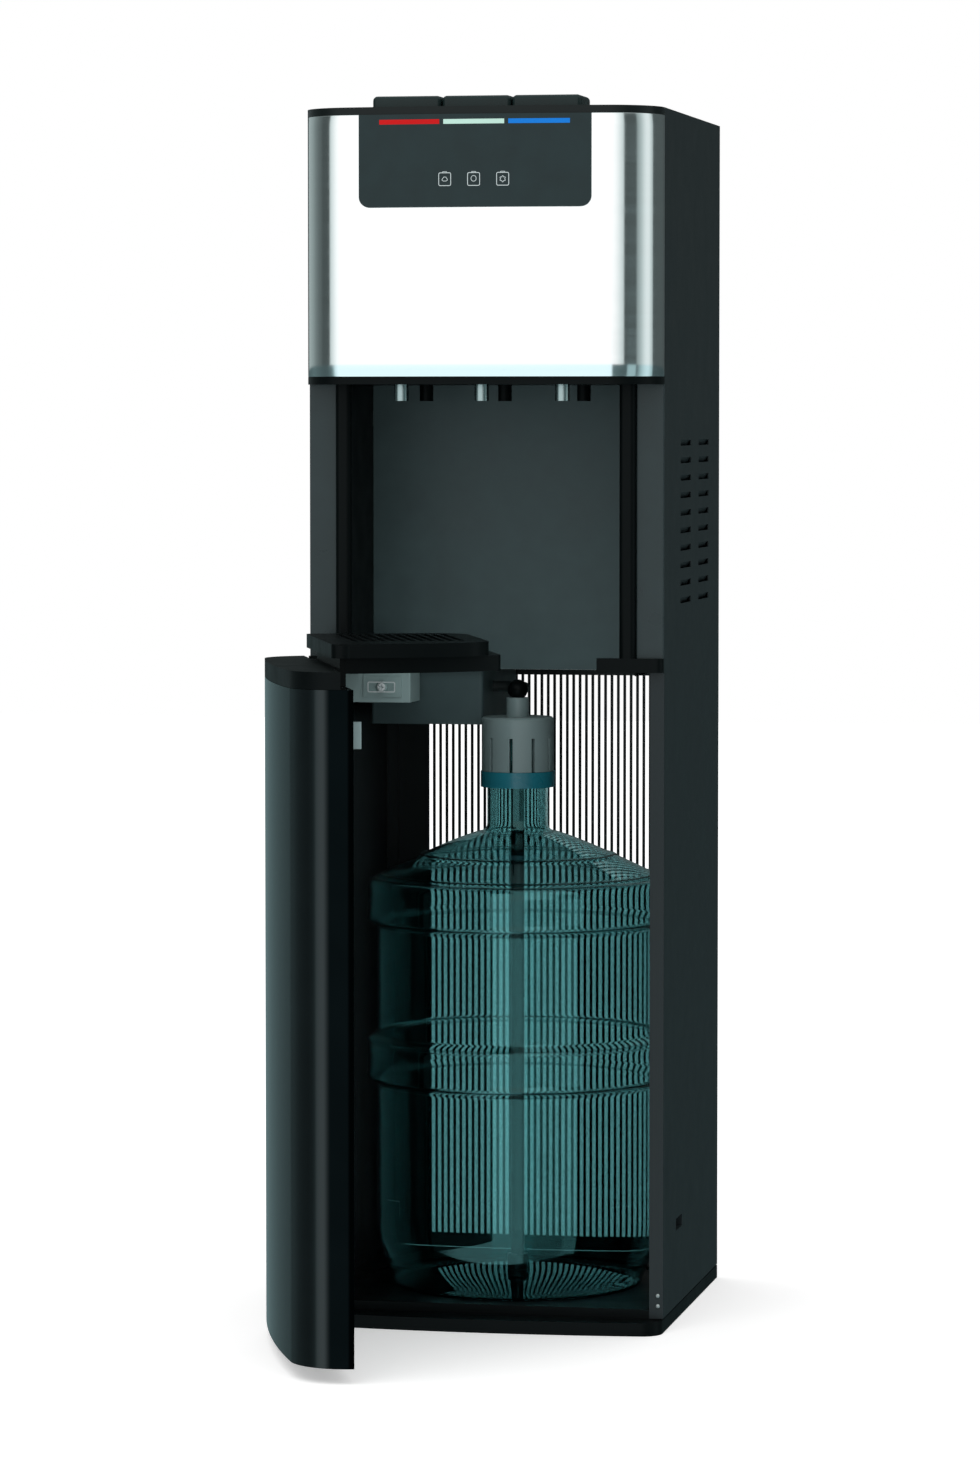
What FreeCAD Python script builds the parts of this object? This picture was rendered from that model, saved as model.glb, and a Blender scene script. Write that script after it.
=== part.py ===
"""Bottom load water cooler: a floor-standing cabinet with a bowed front, a hinged bottle door at the
lower left, a dispensing alcove with three taps, and three push pads on top.

Frame: +X to the right, +Y to the back, +Z up, in millimetres. The origin is on the floor under the
middle of the side panels. The front flange plane of the side panels is at y = -cabinet_depth / 2,
and the bowed head, door and base stand forward of it. The door is drawn shut and then swung open
about its pins, which is how the cooler is stored.
"""

import FreeCAD
import Part
import Sketcher
import math
import os
import re

doc = FreeCAD.newDocument("WaterCooler")
Vector = FreeCAD.Vector

# ---------------------------------------------------------------------------------------------
# Driving dimensions
# ---------------------------------------------------------------------------------------------
SIZES = {
    # cabinet
    "cabinet_width": 310.0,
    "cabinet_depth": 310.0,  # of the side panels, front flange to rear flange
    "cabinet_height": 1051.0,
    "panel_bottom": 12.5,
    "sheet_steel": 1.0,
    "flange_width": 12.0,
    "fit_gap": 0.3,
    # bowed front plan, shared by the head and the door
    "front_side": 44.5,  # straight side ahead of the flange plane
    "bow_radius": 1194.0,
    "corner_radius": 47.5,
    # base
    "base_lip": 11.5,
    "base_height": 20.0,
    "base_front": 18.0,
    "base_corner": 18.0,
    "dish_depth": 3.0,
    # head
    "head_bottom": 822.5,
    "head_rim": 6.5,  # top cover and lower band are both this thick
    "head_skin": 1.2,
    "panel_width": 201.0,
    "panel_drop": 78.5,
    "panel_corner": 9.0,
    "panel_proud": 1.0,
    "panel_wall": 3.0,
    "strip_length": 52.5,
    "strip_height": 4.0,
    "strip_pitch": 56.0,
    "strip_drop": 4.5,
    # push pads
    "pad_width": 59.4,
    "pad_length": 48.0,
    "pad_rise": 9.5,
    "pad_pitch": 60.4,
    "pad_setback": 7.0,
    "pad_travel": 3.0,
    "pad_corner": 4.0,
    "pad_stem_radius": 5.0,
    "stop_gap": 0.3,
    "nib_height": 1.5,
    # alcove
    "column_width": 24.0,
    "column_thick": 2.5,
    "column_foot": 582.0,
    "trim_width": 14.0,
    "trim_forward": 10.0,
    "machine_depth": 172.0,  # from the alcove's back to the rear flange
    "alcove_wall": 1.5,
    "sill_width": 57.0,
    "sill_height": 12.0,
    "sill_forward": 10.0,
    # taps
    "tap_pitch": 70.0,
    "tap_ahead": 20.0,  # spout axis ahead of the front flange
    "spout_radius": 6.1,
    "spout_drop": 14.0,
    "spout_bore": 4.0,
    "valve_setback": 70.0,
    "valve_radius": 6.0,
    # door
    "door_bottom": 13.0,
    "door_top": 567.5,
    "door_gap": 1.0,
    "door_wall": 3.0,
    "door_seam": 117.0,
    "seam_gap": 0.5,
    "door_cap_height": 14.0,
    "pin_inset": 3.0,
    "pin_ahead": 3.8,
    "pin_radius": 1.75,
    "pin_length": 14.0,
    "pin_boss": 9.0,
    "door_open": 71.5,  # degrees, as stored
    "inner_panel_wall": 2.5,
    "floor_thick": 13.0,
    "floor_lift": 9.0,
    "floor_gap": 5.0,
    "sill_clear": 2.0,
    # drip tray
    "tray_seat": 0.3,
    "tray_height": 11.5,
    "tray_wall": 2.0,
    "tray_clear": 7.0,
    "tray_gap": 16.0,
    "tray_corner": 34.0,
    "tray_front": 14.0,
    "grille_thick": 2.5,
    "grille_bar": 3.0,
    "grille_margin": 26.0,
    "grille_slots": 12.0,
    "grille_span": 144.0,
    "lug_radius": 9.0,
    # rear grille
    "slot_pitch": 5.93,
    "slot_width": 3.4,
    "slot_count": 43.0,
    "slot_shift": 11.86,
    "slot_bottom": 34.0,
    "vent_drop": 191.0,
    "slot_top": 552.0,
    "grille_top": 560.0,
    # louvers in the side panels
    "louver_length": 58.0,
    "louver_height": 5.0,
    "louver_pitch": 15.25,
    "louver_rows": 10.0,
    "louver_low": 626.0,
    "louver_front": -38.0,
    "louver_rear": 63.0,
    "louver_depth": 3.5,
    "grip_length": 33.0,
    "grip_height": 10.5,
    "grip_low": 78.5,
    "grip_centre": -68.0,
    "grip_depth": 6.0,
    "grip_wall": 1.2,
    # shelves
    "shelf_level": 565.0,
    "shelf_thick": 1.5,
    "tank_level": 780.0,
    # bottle
    "bottle_radius": 134.0,
    "bottle_foot": 112.0,
    "waist_depth": 8.5,
    "waist_slope": 7.0,
    "bottle_setback": 10.0,
    "bottle_height": 490.0,
    "bottle_wall": 2.0,
    "neck_radius": 27.0,
    "neck_length": 84.0,
    "shoulder_rise": 46.0,
    # probe
    "cap_radius": 32.0,
    "cap_height": 48.0,
    "cap_headroom": 12.7,
    "cap_slots": 10.0,
    "cap_slot_width": 3.0,
    "cap_slot_height": 30.0,
    "cap_wall": 3.0,
    "collar_height": 14.0,
    "stem_radius": 10.0,
    "stem_height": 17.0,
    "dip_radius": 6.0,
    "hose_radius": 5.0,
    "hose_lift": 150.0,
    "ball_radius": 9.0,
    # pump housing and service box
    "pump_left": 133.5,
    "pump_right": 32.0,
    "pump_front": -8.0,
    "pump_rear": 153.0,
    "pump_drop": 50.0,
    "pump_wall": 2.0,
    "motor_radius": 19.0,
    "box_right": 86.0,
    "box_front": -64.0,
    "box_depth": 42.0,
    "box_low": 537.0,
    "box_high": 564.5,
    # cooling and heating
    "compressor_radius": 60.0,
    "compressor_height": 150.0,
    "compressor_x": 60.0,
    "machine_back": 93.0,  # from the rear flange to the middle of the tanks and compressor
    "foot_height": 12.0,
    "cold_radius": 58.0,
    "cold_headroom": 77.0,
    "cold_x": 66.0,
    "jacket_thick": 16.0,
    "hot_radius": 46.0,
    "hot_headroom": 103.0,
    "hot_foot": 10.0,
    "hot_x": 82.0,
    "heater_thick": 4.0,
    "tank_wall": 1.5,
    "coil_tube": 2.5,
    "coil_passes": 6.0,
    "coil_pitch": 52.0,
    "coil_rise": 45.0,  # above the machine shelf
    "coil_half": 120.0,
    # rear services
    "rocker_width": 13.0,
    "rocker_height": 19.0,
    "rocker_level": 640.0,
    "rocker_pitch": 34.0,
    "rocker_x": 95.0,
    "inlet_level": 596.0,
    "inlet_radius": 9.0,
    "drain_level": 596.0,
    "drain_radius": 8.0,
    "screw_radius": 3.5,
}

sheet = doc.addObject("Spreadsheet::Sheet", "Sizes")
for row, (alias, number) in enumerate(SIZES.items(), start=1):
    sheet.set(f"A{row}", alias)
    sheet.set(f"B{row}", str(number))
    sheet.setAlias(f"B{row}", alias)
doc.recompute()


def size(alias):
    """The value of one driving dimension, read back from the sheet."""
    return float(getattr(sheet, alias))


def bound(text):
    """The expression text with each driving dimension written as a cell of the sheet."""
    return re.sub(r"[a-z][a-z_]+", lambda word: f"Sizes.{word.group()}" if word.group() in SIZES
                  else word.group(), str(text))


HALF = "(cabinet_width / 2)"
FRONT = "(-cabinet_depth / 2)"
REAR = "(cabinet_depth / 2)"
INNER = "(cabinet_width / 2 - sheet_steel - 0.2)"
BETWEEN = "(cabinet_width / 2 - flange_width - 0.2)"
HEAD_TOP = "(cabinet_height - head_rim)"
BAND_LOW = "(head_bottom - head_rim)"
DOOR_BACK = "(-cabinet_depth / 2 - door_gap)"
CAP_TOP = "(door_top + 0.5 + door_cap_height)"
PIN_X = f"(-{HALF} + pin_inset)"
PIN_Y = f"({FRONT} - pin_ahead)"
ALCOVE_BACK = f"({REAR} - machine_depth)"
COLD_HEIGHT = f"({HEAD_TOP} - tank_level - shelf_thick - jacket_thick - cold_headroom)"
HOT_HEIGHT = f"({HEAD_TOP} - tank_level - shelf_thick - hot_foot - hot_headroom)"
MACHINE_Y = f"({REAR} - machine_back)"
HOSE_X = "0"
HOSE_Y = "(-bottle_setback)"
HOSE_START = "(ball_radius - 3 - bottle_setback)"
PUMP_X = "(-(pump_left + pump_right) / 2)"
PUMP_Y = f"({MACHINE_Y} - 20)"
PAD_FRONT = f"({FRONT} - front_side)"
PAD_WELL = (f"{FRONT} - front_side - 0.4", f"{FRONT} - front_side + pad_length + 0.4")
PAD_MIDDLE = f"({FRONT} - front_side + pad_length / 2)"
SWITCH_TOP = f"({HEAD_TOP} - 7)"
FLOOR_TOP = "(door_top + 0.5 + door_cap_height + floor_lift)"
TRAY_BOTTOM = f"({FLOOR_TOP} + tray_seat)"
TRAY_TOP = f"({TRAY_BOTTOM} + tray_height)"
TRAY_SIDE = f"{HALF} - column_width - trim_width - tray_clear"
SLOT_PITCH = f"(({ALCOVE_BACK} - tray_gap - {FRONT} - grille_margin) / grille_slots)"
TRAY_SWING = "(cabinet_width - pin_inset - column_width - trim_width - tray_clear)"
CAP_HOOD_TOP = "(base_height - dish_depth + bottle_height + cap_headroom + cap_wall)"
BALL_LEVEL = f"({CAP_HOOD_TOP} + stem_height + ball_radius - 2)"
BANDS = ((203.0, 237.0), (343.0, 400.0))  # levels of the two wide bands of the bottle
DOOR_NODES = ("door_front_panel", "door_cheek_latch", "door_cheek_hinge", "door_inner_panel", "door_cap",
              "latch_tongue", "drip_tray", "drip_grille")

half = size("cabinet_width") / 2
front = -size("cabinet_depth") / 2
rear = size("cabinet_depth") / 2
nodes = {}


# ---------------------------------------------------------------------------------------------
# Building blocks
# ---------------------------------------------------------------------------------------------
def feature(kind, name):
    return doc.addObject(kind, name)


def block(name, x, y, z):
    """A box between two expressions along each axis."""
    made = feature("Part::Box", name)
    for prop, axis, (low, high) in (("Length", "x", x), ("Width", "y", y), ("Height", "z", z)):
        made.setExpression(prop, bound(f"({high}) - ({low})"))
        made.setExpression(f"Placement.Base.{axis}", bound(low))
    return made


def post(name, radius, x, y, z):
    """An upright cylinder; z holds its low and high ends."""
    made = feature("Part::Cylinder", name)
    made.setExpression("Radius", bound(radius))
    made.setExpression("Height", bound(f"({z[1]}) - ({z[0]})"))
    for axis, place in (("x", x), ("y", y), ("z", z[0])):
        made.setExpression(f"Placement.Base.{axis}", bound(place))
    return made


def rod(name, radius, x, y, z, along):
    """A level cylinder along X or Y; the pair among x and y holds its ends."""
    made = feature("Part::Cylinder", name)
    turn = FreeCAD.Rotation(Vector(0, 1, 0), 90) if along == "x" else FreeCAD.Rotation(Vector(1, 0, 0), -90)
    made.Placement = FreeCAD.Placement(Vector(0, 0, 0), turn)
    low, high = x if along == "x" else y
    made.setExpression("Radius", bound(radius))
    made.setExpression("Height", bound(f"({high}) - ({low})"))
    made.setExpression("Placement.Base.x", bound(low if along == "x" else x))
    made.setExpression("Placement.Base.y", bound(low if along == "y" else y))
    made.setExpression("Placement.Base.z", bound(z))
    return made


def cut(name, base, *tools):
    made = feature("Part::Cut", name)
    made.Base = base
    made.Tool = tools[0] if len(tools) == 1 else fuse(name + "_tools", *tools)
    return made


def fuse(name, *shapes):
    made = feature("Part::MultiFuse", name)
    made.Shapes = list(shapes)
    return made


def common(name, *shapes):
    made = feature("Part::MultiCommon", name)
    made.Shapes = list(shapes)
    return made


def group(name, *shapes):
    """Separate like solids kept in one node."""
    made = feature("Part::Compound", name)
    made.Links = list(shapes)
    return made


def rounded(name, base, radius, wanted, kind="Part::Fillet"):
    """A fillet, or another edge finish, on the edges that the test picks."""
    doc.recompute()
    picked = [(n, radius, radius) for n, edge in enumerate(base.Shape.Edges, start=1) if wanted(edge)]
    if not picked:
        raise ValueError(f"{name} has no edge to round")
    made = feature(kind, name)
    made.Base = base
    made.Edges = picked
    return made


def chamfered(name, base, width, wanted):
    return rounded(name, base, width, wanted, "Part::Chamfer")


def upright(edge):
    """True for a straight vertical edge."""
    if not isinstance(edge.Curve, Part.Line):
        return False
    direction = edge.tangentAt(edge.FirstParameter)
    return abs(direction.z) > 0.999


def level_ring(edge):
    """True for a full circle that lies level."""
    return len(edge.Vertexes) == 1 and edge.BoundBox.ZLength < 0.01


def along_y(edge):
    if not isinstance(edge.Curve, Part.Line):
        return False
    return abs(edge.tangentAt(edge.FirstParameter).y) > 0.999


def node(label, made):
    """Registers a sub-part; its label is the name of its file."""
    made.Label = label
    nodes[label] = made
    return made


def bowed(name, z, side="front_side", corner="corner_radius", inset="0", back=FRONT, corner_cut=0.0):
    """The shared front plan: a big arc across the width, straight sides and round corners."""
    width = f"({HALF} - ({inset}))"
    slab = block(name + "_slab", (f"-{width}", width), (f"{FRONT} - ({side}) - bow_radius / 10", REAR), z)
    arc = post(name + "_arc", f"bow_radius - ({inset})", "0",
               f"{FRONT} - ({side}) + sqrt(bow_radius ^ 2 - {HALF} ^ 2)", z)
    both = common(name + "_plan", slab, arc)
    doc.recompute()
    radius = size(corner) - corner_cut
    made = rounded(name + "_round", both, radius, lambda edge: upright(edge) and edge.BoundBox.YMin < 0)
    if back == REAR:
        return made
    ahead = block(name + "_ahead", (f"-{width} - 1", f"{width} + 1"), (f"{FRONT} - 120", back),
                  (f"({z[0]}) - 1", f"({z[1]}) + 1"))
    return common(name + "_front", made, ahead)


def bowed_skin(name, z, outset, wall, back=FRONT):
    """A wall that follows the front plan, standing proud by outset."""
    outer = bowed(name + "_outer", z, inset=f"-({outset})", corner_cut=-value_of(outset), back=back)
    inner = bowed(name + "_inner", (f"({z[0]}) - 1", f"({z[1]}) + 1"), inset=f"({wall}) - ({outset})",
                  corner_cut=value_of(f"({wall}) - ({outset})"), back=f"({back}) + 1")
    return cut(name, outer, inner)


# ---------------------------------------------------------------------------------------------
# Cabinet
# ---------------------------------------------------------------------------------------------
def base_tray():
    lip = bowed("base_lip_plate", ("0", "base_lip"), side="base_front", corner="base_corner", back=REAR)
    deck = block("base_deck", (f"-{INNER}", INNER), (f"{FRONT} + 1.2", f"{REAR} - 1.2"),
                 ("base_lip", "base_height"))
    whole = fuse("base_whole", lip, deck)
    dish = post("base_dish", "bottle_radius + 3", "0", "-bottle_setback",
                ("base_height - dish_depth", "base_height + 1"))
    pin_hole = post("base_pin_hole", "pin_radius", PIN_X, PIN_Y, ("base_lip - 6", "base_lip + 1"))
    node("base_tray", cut("base_tray_cut", whole, dish, pin_hole))


def plane_sketch(body, name, plane, offset=None):
    """An empty sketch on one of the body's own planes."""
    origin_plane = next(o for o in body.Origin.OriginFeatures if o.Role == plane)
    sketch = body.newObject("Sketcher::SketchObject", name)
    sketch.AttachmentSupport = [(origin_plane, "")]
    sketch.MapMode = "FlatFace"
    if offset:
        sketch.setExpression("AttachmentOffset.Base.z", bound(offset))
    return sketch


def draw_polygon(sketch, points, seed):
    """Adds a closed run of lines; points are pairs of expressions and seed their present values."""
    first = sketch.GeometryCount
    count = len(points)
    for i in range(count):
        a, b = seed[i], seed[(i + 1) % count]
        sketch.addGeometry(Part.LineSegment(Vector(a[0], a[1], 0), Vector(b[0], b[1], 0)), False)
    for i in range(count):
        sketch.addConstraint(Sketcher.Constraint("Coincident", first + i, 2, first + (i + 1) % count, 1))
    for i, (across, up) in enumerate(points):
        for kind, text, value in (("DistanceX", across, seed[i][0]), ("DistanceY", up, seed[i][1])):
            number = sketch.addConstraint(Sketcher.Constraint(kind, -1, 1, first + i, 1, value))
            sketch.setExpression(f"Constraints[{number}]", bound(text))


probe = doc.addObject("Part::Box", "probe")


def value_of(text):
    """The present value of an expression of driving dimensions."""
    probe.setExpression("Placement.Base.x", bound(text))
    probe.recompute()
    return probe.Placement.Base.x


def sketched(body, name, plane, outlines, offset=None):
    sketch = plane_sketch(body, name, plane, offset)
    for outline in outlines:
        seed = [(value_of(a), value_of(b)) for a, b in outline]
        draw_polygon(sketch, outline, seed)
    return sketch


def rectangle(x, y):
    return [(x[0], y[0]), (x[1], y[0]), (x[1], y[1]), (x[0], y[1])]


def padded(name, plane, outlines, low, high):
    """A body with one pad between two levels along the plane's normal."""
    body = doc.addObject("PartDesign::Body", name)
    sketch = sketched(body, name + "_sketch", plane, outlines, low)
    pad = body.newObject("PartDesign::Pad", name + "_pad")
    pad.Profile = sketch
    pad.setExpression("Length", bound(f"({high}) - ({low})"))
    doc.recompute()
    return body


def pocket(body, name, plane, outlines, level, depth, reverse=False):
    sketch = sketched(body, name + "_sketch", plane, outlines, level)
    made = body.newObject("PartDesign::Pocket", name)
    made.Profile = sketch
    made.setExpression("Length", bound(depth))
    made.Reversed = reverse
    before = body.Shape.Volume
    doc.recompute()
    if body.Shape.Volume > before - 1e-3:
        raise ValueError(f"{name} cuts nothing")
    return made


def row_of(body, name, originals, axis, length, count):
    """A straight pattern of features along one of the body's axes."""
    pattern = body.newObject("PartDesign::LinearPattern", name)
    pattern.Originals = originals
    direction = next(o for o in body.Origin.OriginFeatures if o.Role == axis)
    pattern.Direction = (direction, [""])
    pattern.setExpression("Length", bound(length))
    pattern.setExpression("Occurrences", bound(count))
    body.Tip = pattern
    doc.recompute()
    return pattern


def side_panels():
    """Folded sheet: web, front and rear flanges, two ladders of inward louvers and a blind grip."""
    web = [
        (HALF, FRONT), (HALF, REAR), (f"{HALF} - flange_width", REAR),
        (f"{HALF} - flange_width", f"{REAR} - sheet_steel"),
        (f"{HALF} - sheet_steel", f"{REAR} - sheet_steel"),
        (f"{HALF} - sheet_steel", f"{FRONT} + sheet_steel"),
        (f"{HALF} - flange_width", f"{FRONT} + sheet_steel"),
        (f"{HALF} - flange_width", FRONT),
    ]
    body = padded("side_panel_right", "XY_Plane", [web], "panel_bottom", "cabinet_height")
    for place in ("louver_front", "louver_rear"):
        opening = rectangle((f"{place} - louver_length / 2", f"{place} + louver_length / 2"),
                            ("louver_low", "louver_low + louver_height"))
        slot = pocket(body, place + "_slot", "YZ_Plane", [opening], HALF, "sheet_steel")
        ladder = row_of(body, place + "_ladder", [slot], "Z_Axis", "louver_pitch * (louver_rows - 1)",
                        "louver_rows")
        hood = [
            (f"{HALF} - sheet_steel", "louver_low + louver_height + 1.5"),
            (f"{HALF} - sheet_steel", "louver_low + louver_height + 0.2"),
            (f"{HALF} - sheet_steel - louver_depth + 0.8", "louver_low + 0.5"),
            (f"{HALF} - sheet_steel - louver_depth", "louver_low + 0.5"),
        ]
        hood_sketch = sketched(body, place + "_hood_sketch", "XZ_Plane", [hood],
                               f"-({place} + louver_length / 2)")
        hood_pad = body.newObject("PartDesign::Pad", place + "_hood")
        hood_pad.Profile = hood_sketch
        hood_pad.setExpression("Length", bound("louver_length"))
        doc.recompute()
        row_of(body, place + "_hoods", [hood_pad], "Z_Axis", "louver_pitch * (louver_rows - 1)",
               "louver_rows")
    cup = rectangle(("grip_centre - grip_length / 2 - grip_wall",
                     "grip_centre + grip_length / 2 + grip_wall"),
                    ("grip_low - grip_wall", "grip_low + grip_height + grip_wall"))
    cup_sketch = sketched(body, "grip_cup_sketch", "YZ_Plane", [cup],
                          f"{HALF} - sheet_steel - grip_depth - grip_wall")
    cup_pad = body.newObject("PartDesign::Pad", "grip_cup")
    cup_pad.Profile = cup_sketch
    cup_pad.setExpression("Length", bound("grip_depth + grip_wall"))
    doc.recompute()
    grip = rectangle(("grip_centre - grip_length / 2", "grip_centre + grip_length / 2"),
                     ("grip_low", "grip_low + grip_height"))
    pocket(body, "grip_slot", "YZ_Plane", [grip], HALF, "sheet_steel + grip_depth")
    node("side_panel_right", body)
    mirror = doc.addObject("Part::Mirroring", "side_panel_left_mirror")
    mirror.Source = body
    mirror.Normal = Vector(1, 0, 0)
    node("side_panel_left", mirror)


def rear_panels():
    sheet_body = padded("rear_grille", "XY_Plane",
                        [rectangle((f"-{INNER}", INNER), (REAR, f"{REAR} + sheet_steel"))],
                        "base_height + 0.3", "grille_top")
    first = "slot_shift - slot_pitch * (slot_count - 1) / 2"
    opening = rectangle((f"{first} - slot_width / 2", f"{first} + slot_width / 2"),
                        ("slot_bottom", "slot_top"))
    slot = pocket(sheet_body, "rear_slot", "XZ_Plane", [opening], f"-({REAR} + sheet_steel)", "sheet_steel",
                  reverse=True)
    row_of(sheet_body, "rear_slots", [slot], "X_Axis", "slot_pitch * (slot_count - 1)", "slot_count")
    node("rear_grille", sheet_body)

    upper = padded("rear_panel", "XY_Plane",
                   [rectangle((f"-{INNER}", INNER), (REAR, f"{REAR} + sheet_steel"))], "grille_top + 0.5",
                   f"{HEAD_TOP}")
    plane = f"-({REAR} + sheet_steel)"
    vent = rectangle(("-100", "-20"), ("cabinet_height - vent_drop", "cabinet_height - vent_drop + 5"))
    other = rectangle(("20", "100"), ("cabinet_height - vent_drop", "cabinet_height - vent_drop + 5"))
    vents = pocket(upper, "rear_vent", "XZ_Plane", [vent, other], plane, "sheet_steel", reverse=True)
    row_of(upper, "rear_vents", [vents], "Z_Axis", "12 * 9", "10")
    windows = [rectangle((f"rocker_x + rocker_pitch * {n} - rocker_pitch - rocker_width / 2",
                          f"rocker_x + rocker_pitch * {n} - rocker_pitch + rocker_width / 2"),
                         ("rocker_level - rocker_height / 2", "rocker_level + rocker_height / 2"))
               for n in (0, 1)]
    pocket(upper, "rocker_windows", "XZ_Plane", windows, plane, "sheet_steel", reverse=True)
    inlet = rod("inlet_hole", "inlet_radius", "rocker_x", (f"{REAR} - 5", f"{REAR} + 5"), "inlet_level",
                "y")
    drain = rod("drain_hole", "drain_radius", "-rocker_x", (f"{REAR} - 5", f"{REAR} + 5"), "drain_level",
                "y")
    node("rear_panel", cut("rear_panel_cut", upper, inlet, drain))


def shelves():
    for label, level in (("machine_shelf", "shelf_level"), ("tank_shelf", "tank_level")):
        behind = "1.2" if label == "machine_shelf" else "2 * coil_tube + 3"
        deck = block(label + "_deck", (f"-{INNER}", INNER),
                     (ALCOVE_BACK + " + 2.2", f"{REAR} - ({behind})"),
                     (level, f"{level} + shelf_thick"))
        hose_x = PUMP_X if label == "machine_shelf" else "(-hot_x + hot_radius + heater_thick + hose_radius + 7)"
        holes = [post(label + "_hose_hole", "hose_radius + 0.5", hose_x, f"{MACHINE_Y} - 20",
                      (f"{level} - 5", f"{level} + 5"))]
        lip = block(label + "_lip", (f"-{INNER}", INNER), (ALCOVE_BACK + " + 2.2", ALCOVE_BACK + " + 3.7"),
                    (f"{level} + shelf_thick", f"{level} + shelf_thick + 12"))
        node(label, cut(label + "_cut", fuse(label + "_whole", deck, lip), *holes))


# ---------------------------------------------------------------------------------------------
# Head
# ---------------------------------------------------------------------------------------------
def head():
    rim = bowed("top_cover_front", (HEAD_TOP, "cabinet_height"), back=f"{FRONT} - 0.2")
    roof = block("top_cover_roof", (f"-{INNER}", INNER), (f"{FRONT} + 1.2", f"{REAR} - 1.2"),
                 (HEAD_TOP, "cabinet_height"))
    ends = block("top_cover_ends", (f"-{BETWEEN}", BETWEEN), (f"{FRONT} - 0.2", f"{REAR} + sheet_steel"),
                 (HEAD_TOP, "cabinet_height"))
    cover = fuse("top_cover_whole", rim, roof, ends)
    well = block("pad_well", ("-pad_pitch * 3 / 2 - 0.4", "pad_pitch * 3 / 2 + 0.4"), PAD_WELL,
                 (f"{HEAD_TOP} + 2", "cabinet_height + 1"))
    stems = [post(f"pad_stem_hole_{n}", "pad_stem_radius + fit_gap", f"pad_pitch * ({n})", PAD_MIDDLE,
                  (f"{HEAD_TOP} - 1", "cabinet_height")) for n in (-1, 0, 1)]
    node("top_cover", cut("top_cover_cut", cover, well, *stems))

    skin = bowed_skin("head_skin_wrap", ("head_bottom", HEAD_TOP), "0", "head_skin", back=f"{FRONT} - 0.2")
    window = block("panel_window", ("-panel_width / 2 - 0.1", "panel_width / 2 + 0.1"),
                   (f"{FRONT} - 80", f"{FRONT} - 30"),
                   (f"{HEAD_TOP} - panel_drop - 0.1", f"{HEAD_TOP} + 1"))
    window = rounded("panel_window_round", window, size("panel_corner"),
                     lambda edge: along_y(edge) and edge.BoundBox.ZMax < value_of(HEAD_TOP) - size("panel_drop") + 1)
    node("head_panel", cut("head_panel_cut", skin, window))

    facing = bowed_skin("facing_wrap", (f"{HEAD_TOP} - panel_drop - 5", f"{HEAD_TOP} - 0.1"), "panel_proud",
                        "panel_wall + panel_proud", back=f"{FRONT} - 0.2")
    outline = block("facing_outline", ("-panel_width / 2", "panel_width / 2"),
                    (f"{FRONT} - 80", f"{FRONT} - 30"),
                    (f"{HEAD_TOP} - panel_drop", HEAD_TOP))
    outline = rounded("facing_round", outline, size("panel_corner"),
                      lambda edge: along_y(edge) and edge.BoundBox.ZMax < value_of(HEAD_TOP) - size("panel_drop") + 1)
    facing = common("facing", facing, outline)
    strips, seats = [], []
    for n, label in ((-1, "light_strip_hot"), (0, "light_strip_room"), (1, "light_strip_cold")):
        across = (f"strip_pitch * ({n}) - strip_length / 2", f"strip_pitch * ({n}) + strip_length / 2")
        level = (f"{HEAD_TOP} - strip_drop - strip_height", f"{HEAD_TOP} - strip_drop")
        bar = block(label + "_bar", across, (f"{FRONT} - 80", f"{FRONT} - 30"), level)
        lens = bowed_skin(label + "_wrap", level, "panel_proud", "1.5", back=f"{FRONT} - 0.2")
        node(label, common(label + "_lens", lens, bar))
        seat_wrap = bowed_skin(label + "_seat_wrap", level, "panel_proud + 1", "2.5", back=f"{FRONT} - 0.2")
        seats.append(common(label + "_seat", seat_wrap,
                            block(label + "_seat_bar", across, (f"{FRONT} - 80", f"{FRONT} - 30"), level)))
    node("control_panel", cut("control_panel_cut", facing, *seats))

    band = bowed("band_front", (BAND_LOW, "head_bottom"), back=f"{FRONT} - 0.2")
    ceiling = block("band_ceiling", (f"-{INNER}", INNER), (f"{FRONT} + 1.2", ALCOVE_BACK + " + 2"),
                    (BAND_LOW, "head_bottom"))
    ahead = block("band_ahead", (f"-{BETWEEN}", BETWEEN), (f"{FRONT} - 0.2", f"{FRONT} + 2"),
                  (BAND_LOW, "head_bottom"))
    holes = []
    for n in (-1, 0, 1):
        holes.append(post(f"spout_hole_{n}", "spout_radius", f"tap_pitch * ({n})", f"{FRONT} - tap_ahead",
                          (f"{BAND_LOW} - 1", "head_bottom + 1")))
        holes.append(post(f"valve_hole_{n}", "valve_radius", f"tap_pitch * ({n})", "-valve_setback",
                          (f"{BAND_LOW} - 1", "head_bottom + 1")))
    node("head_band", cut("head_band_cut", fuse("band_whole", band, ceiling, ahead), *holes))


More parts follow.
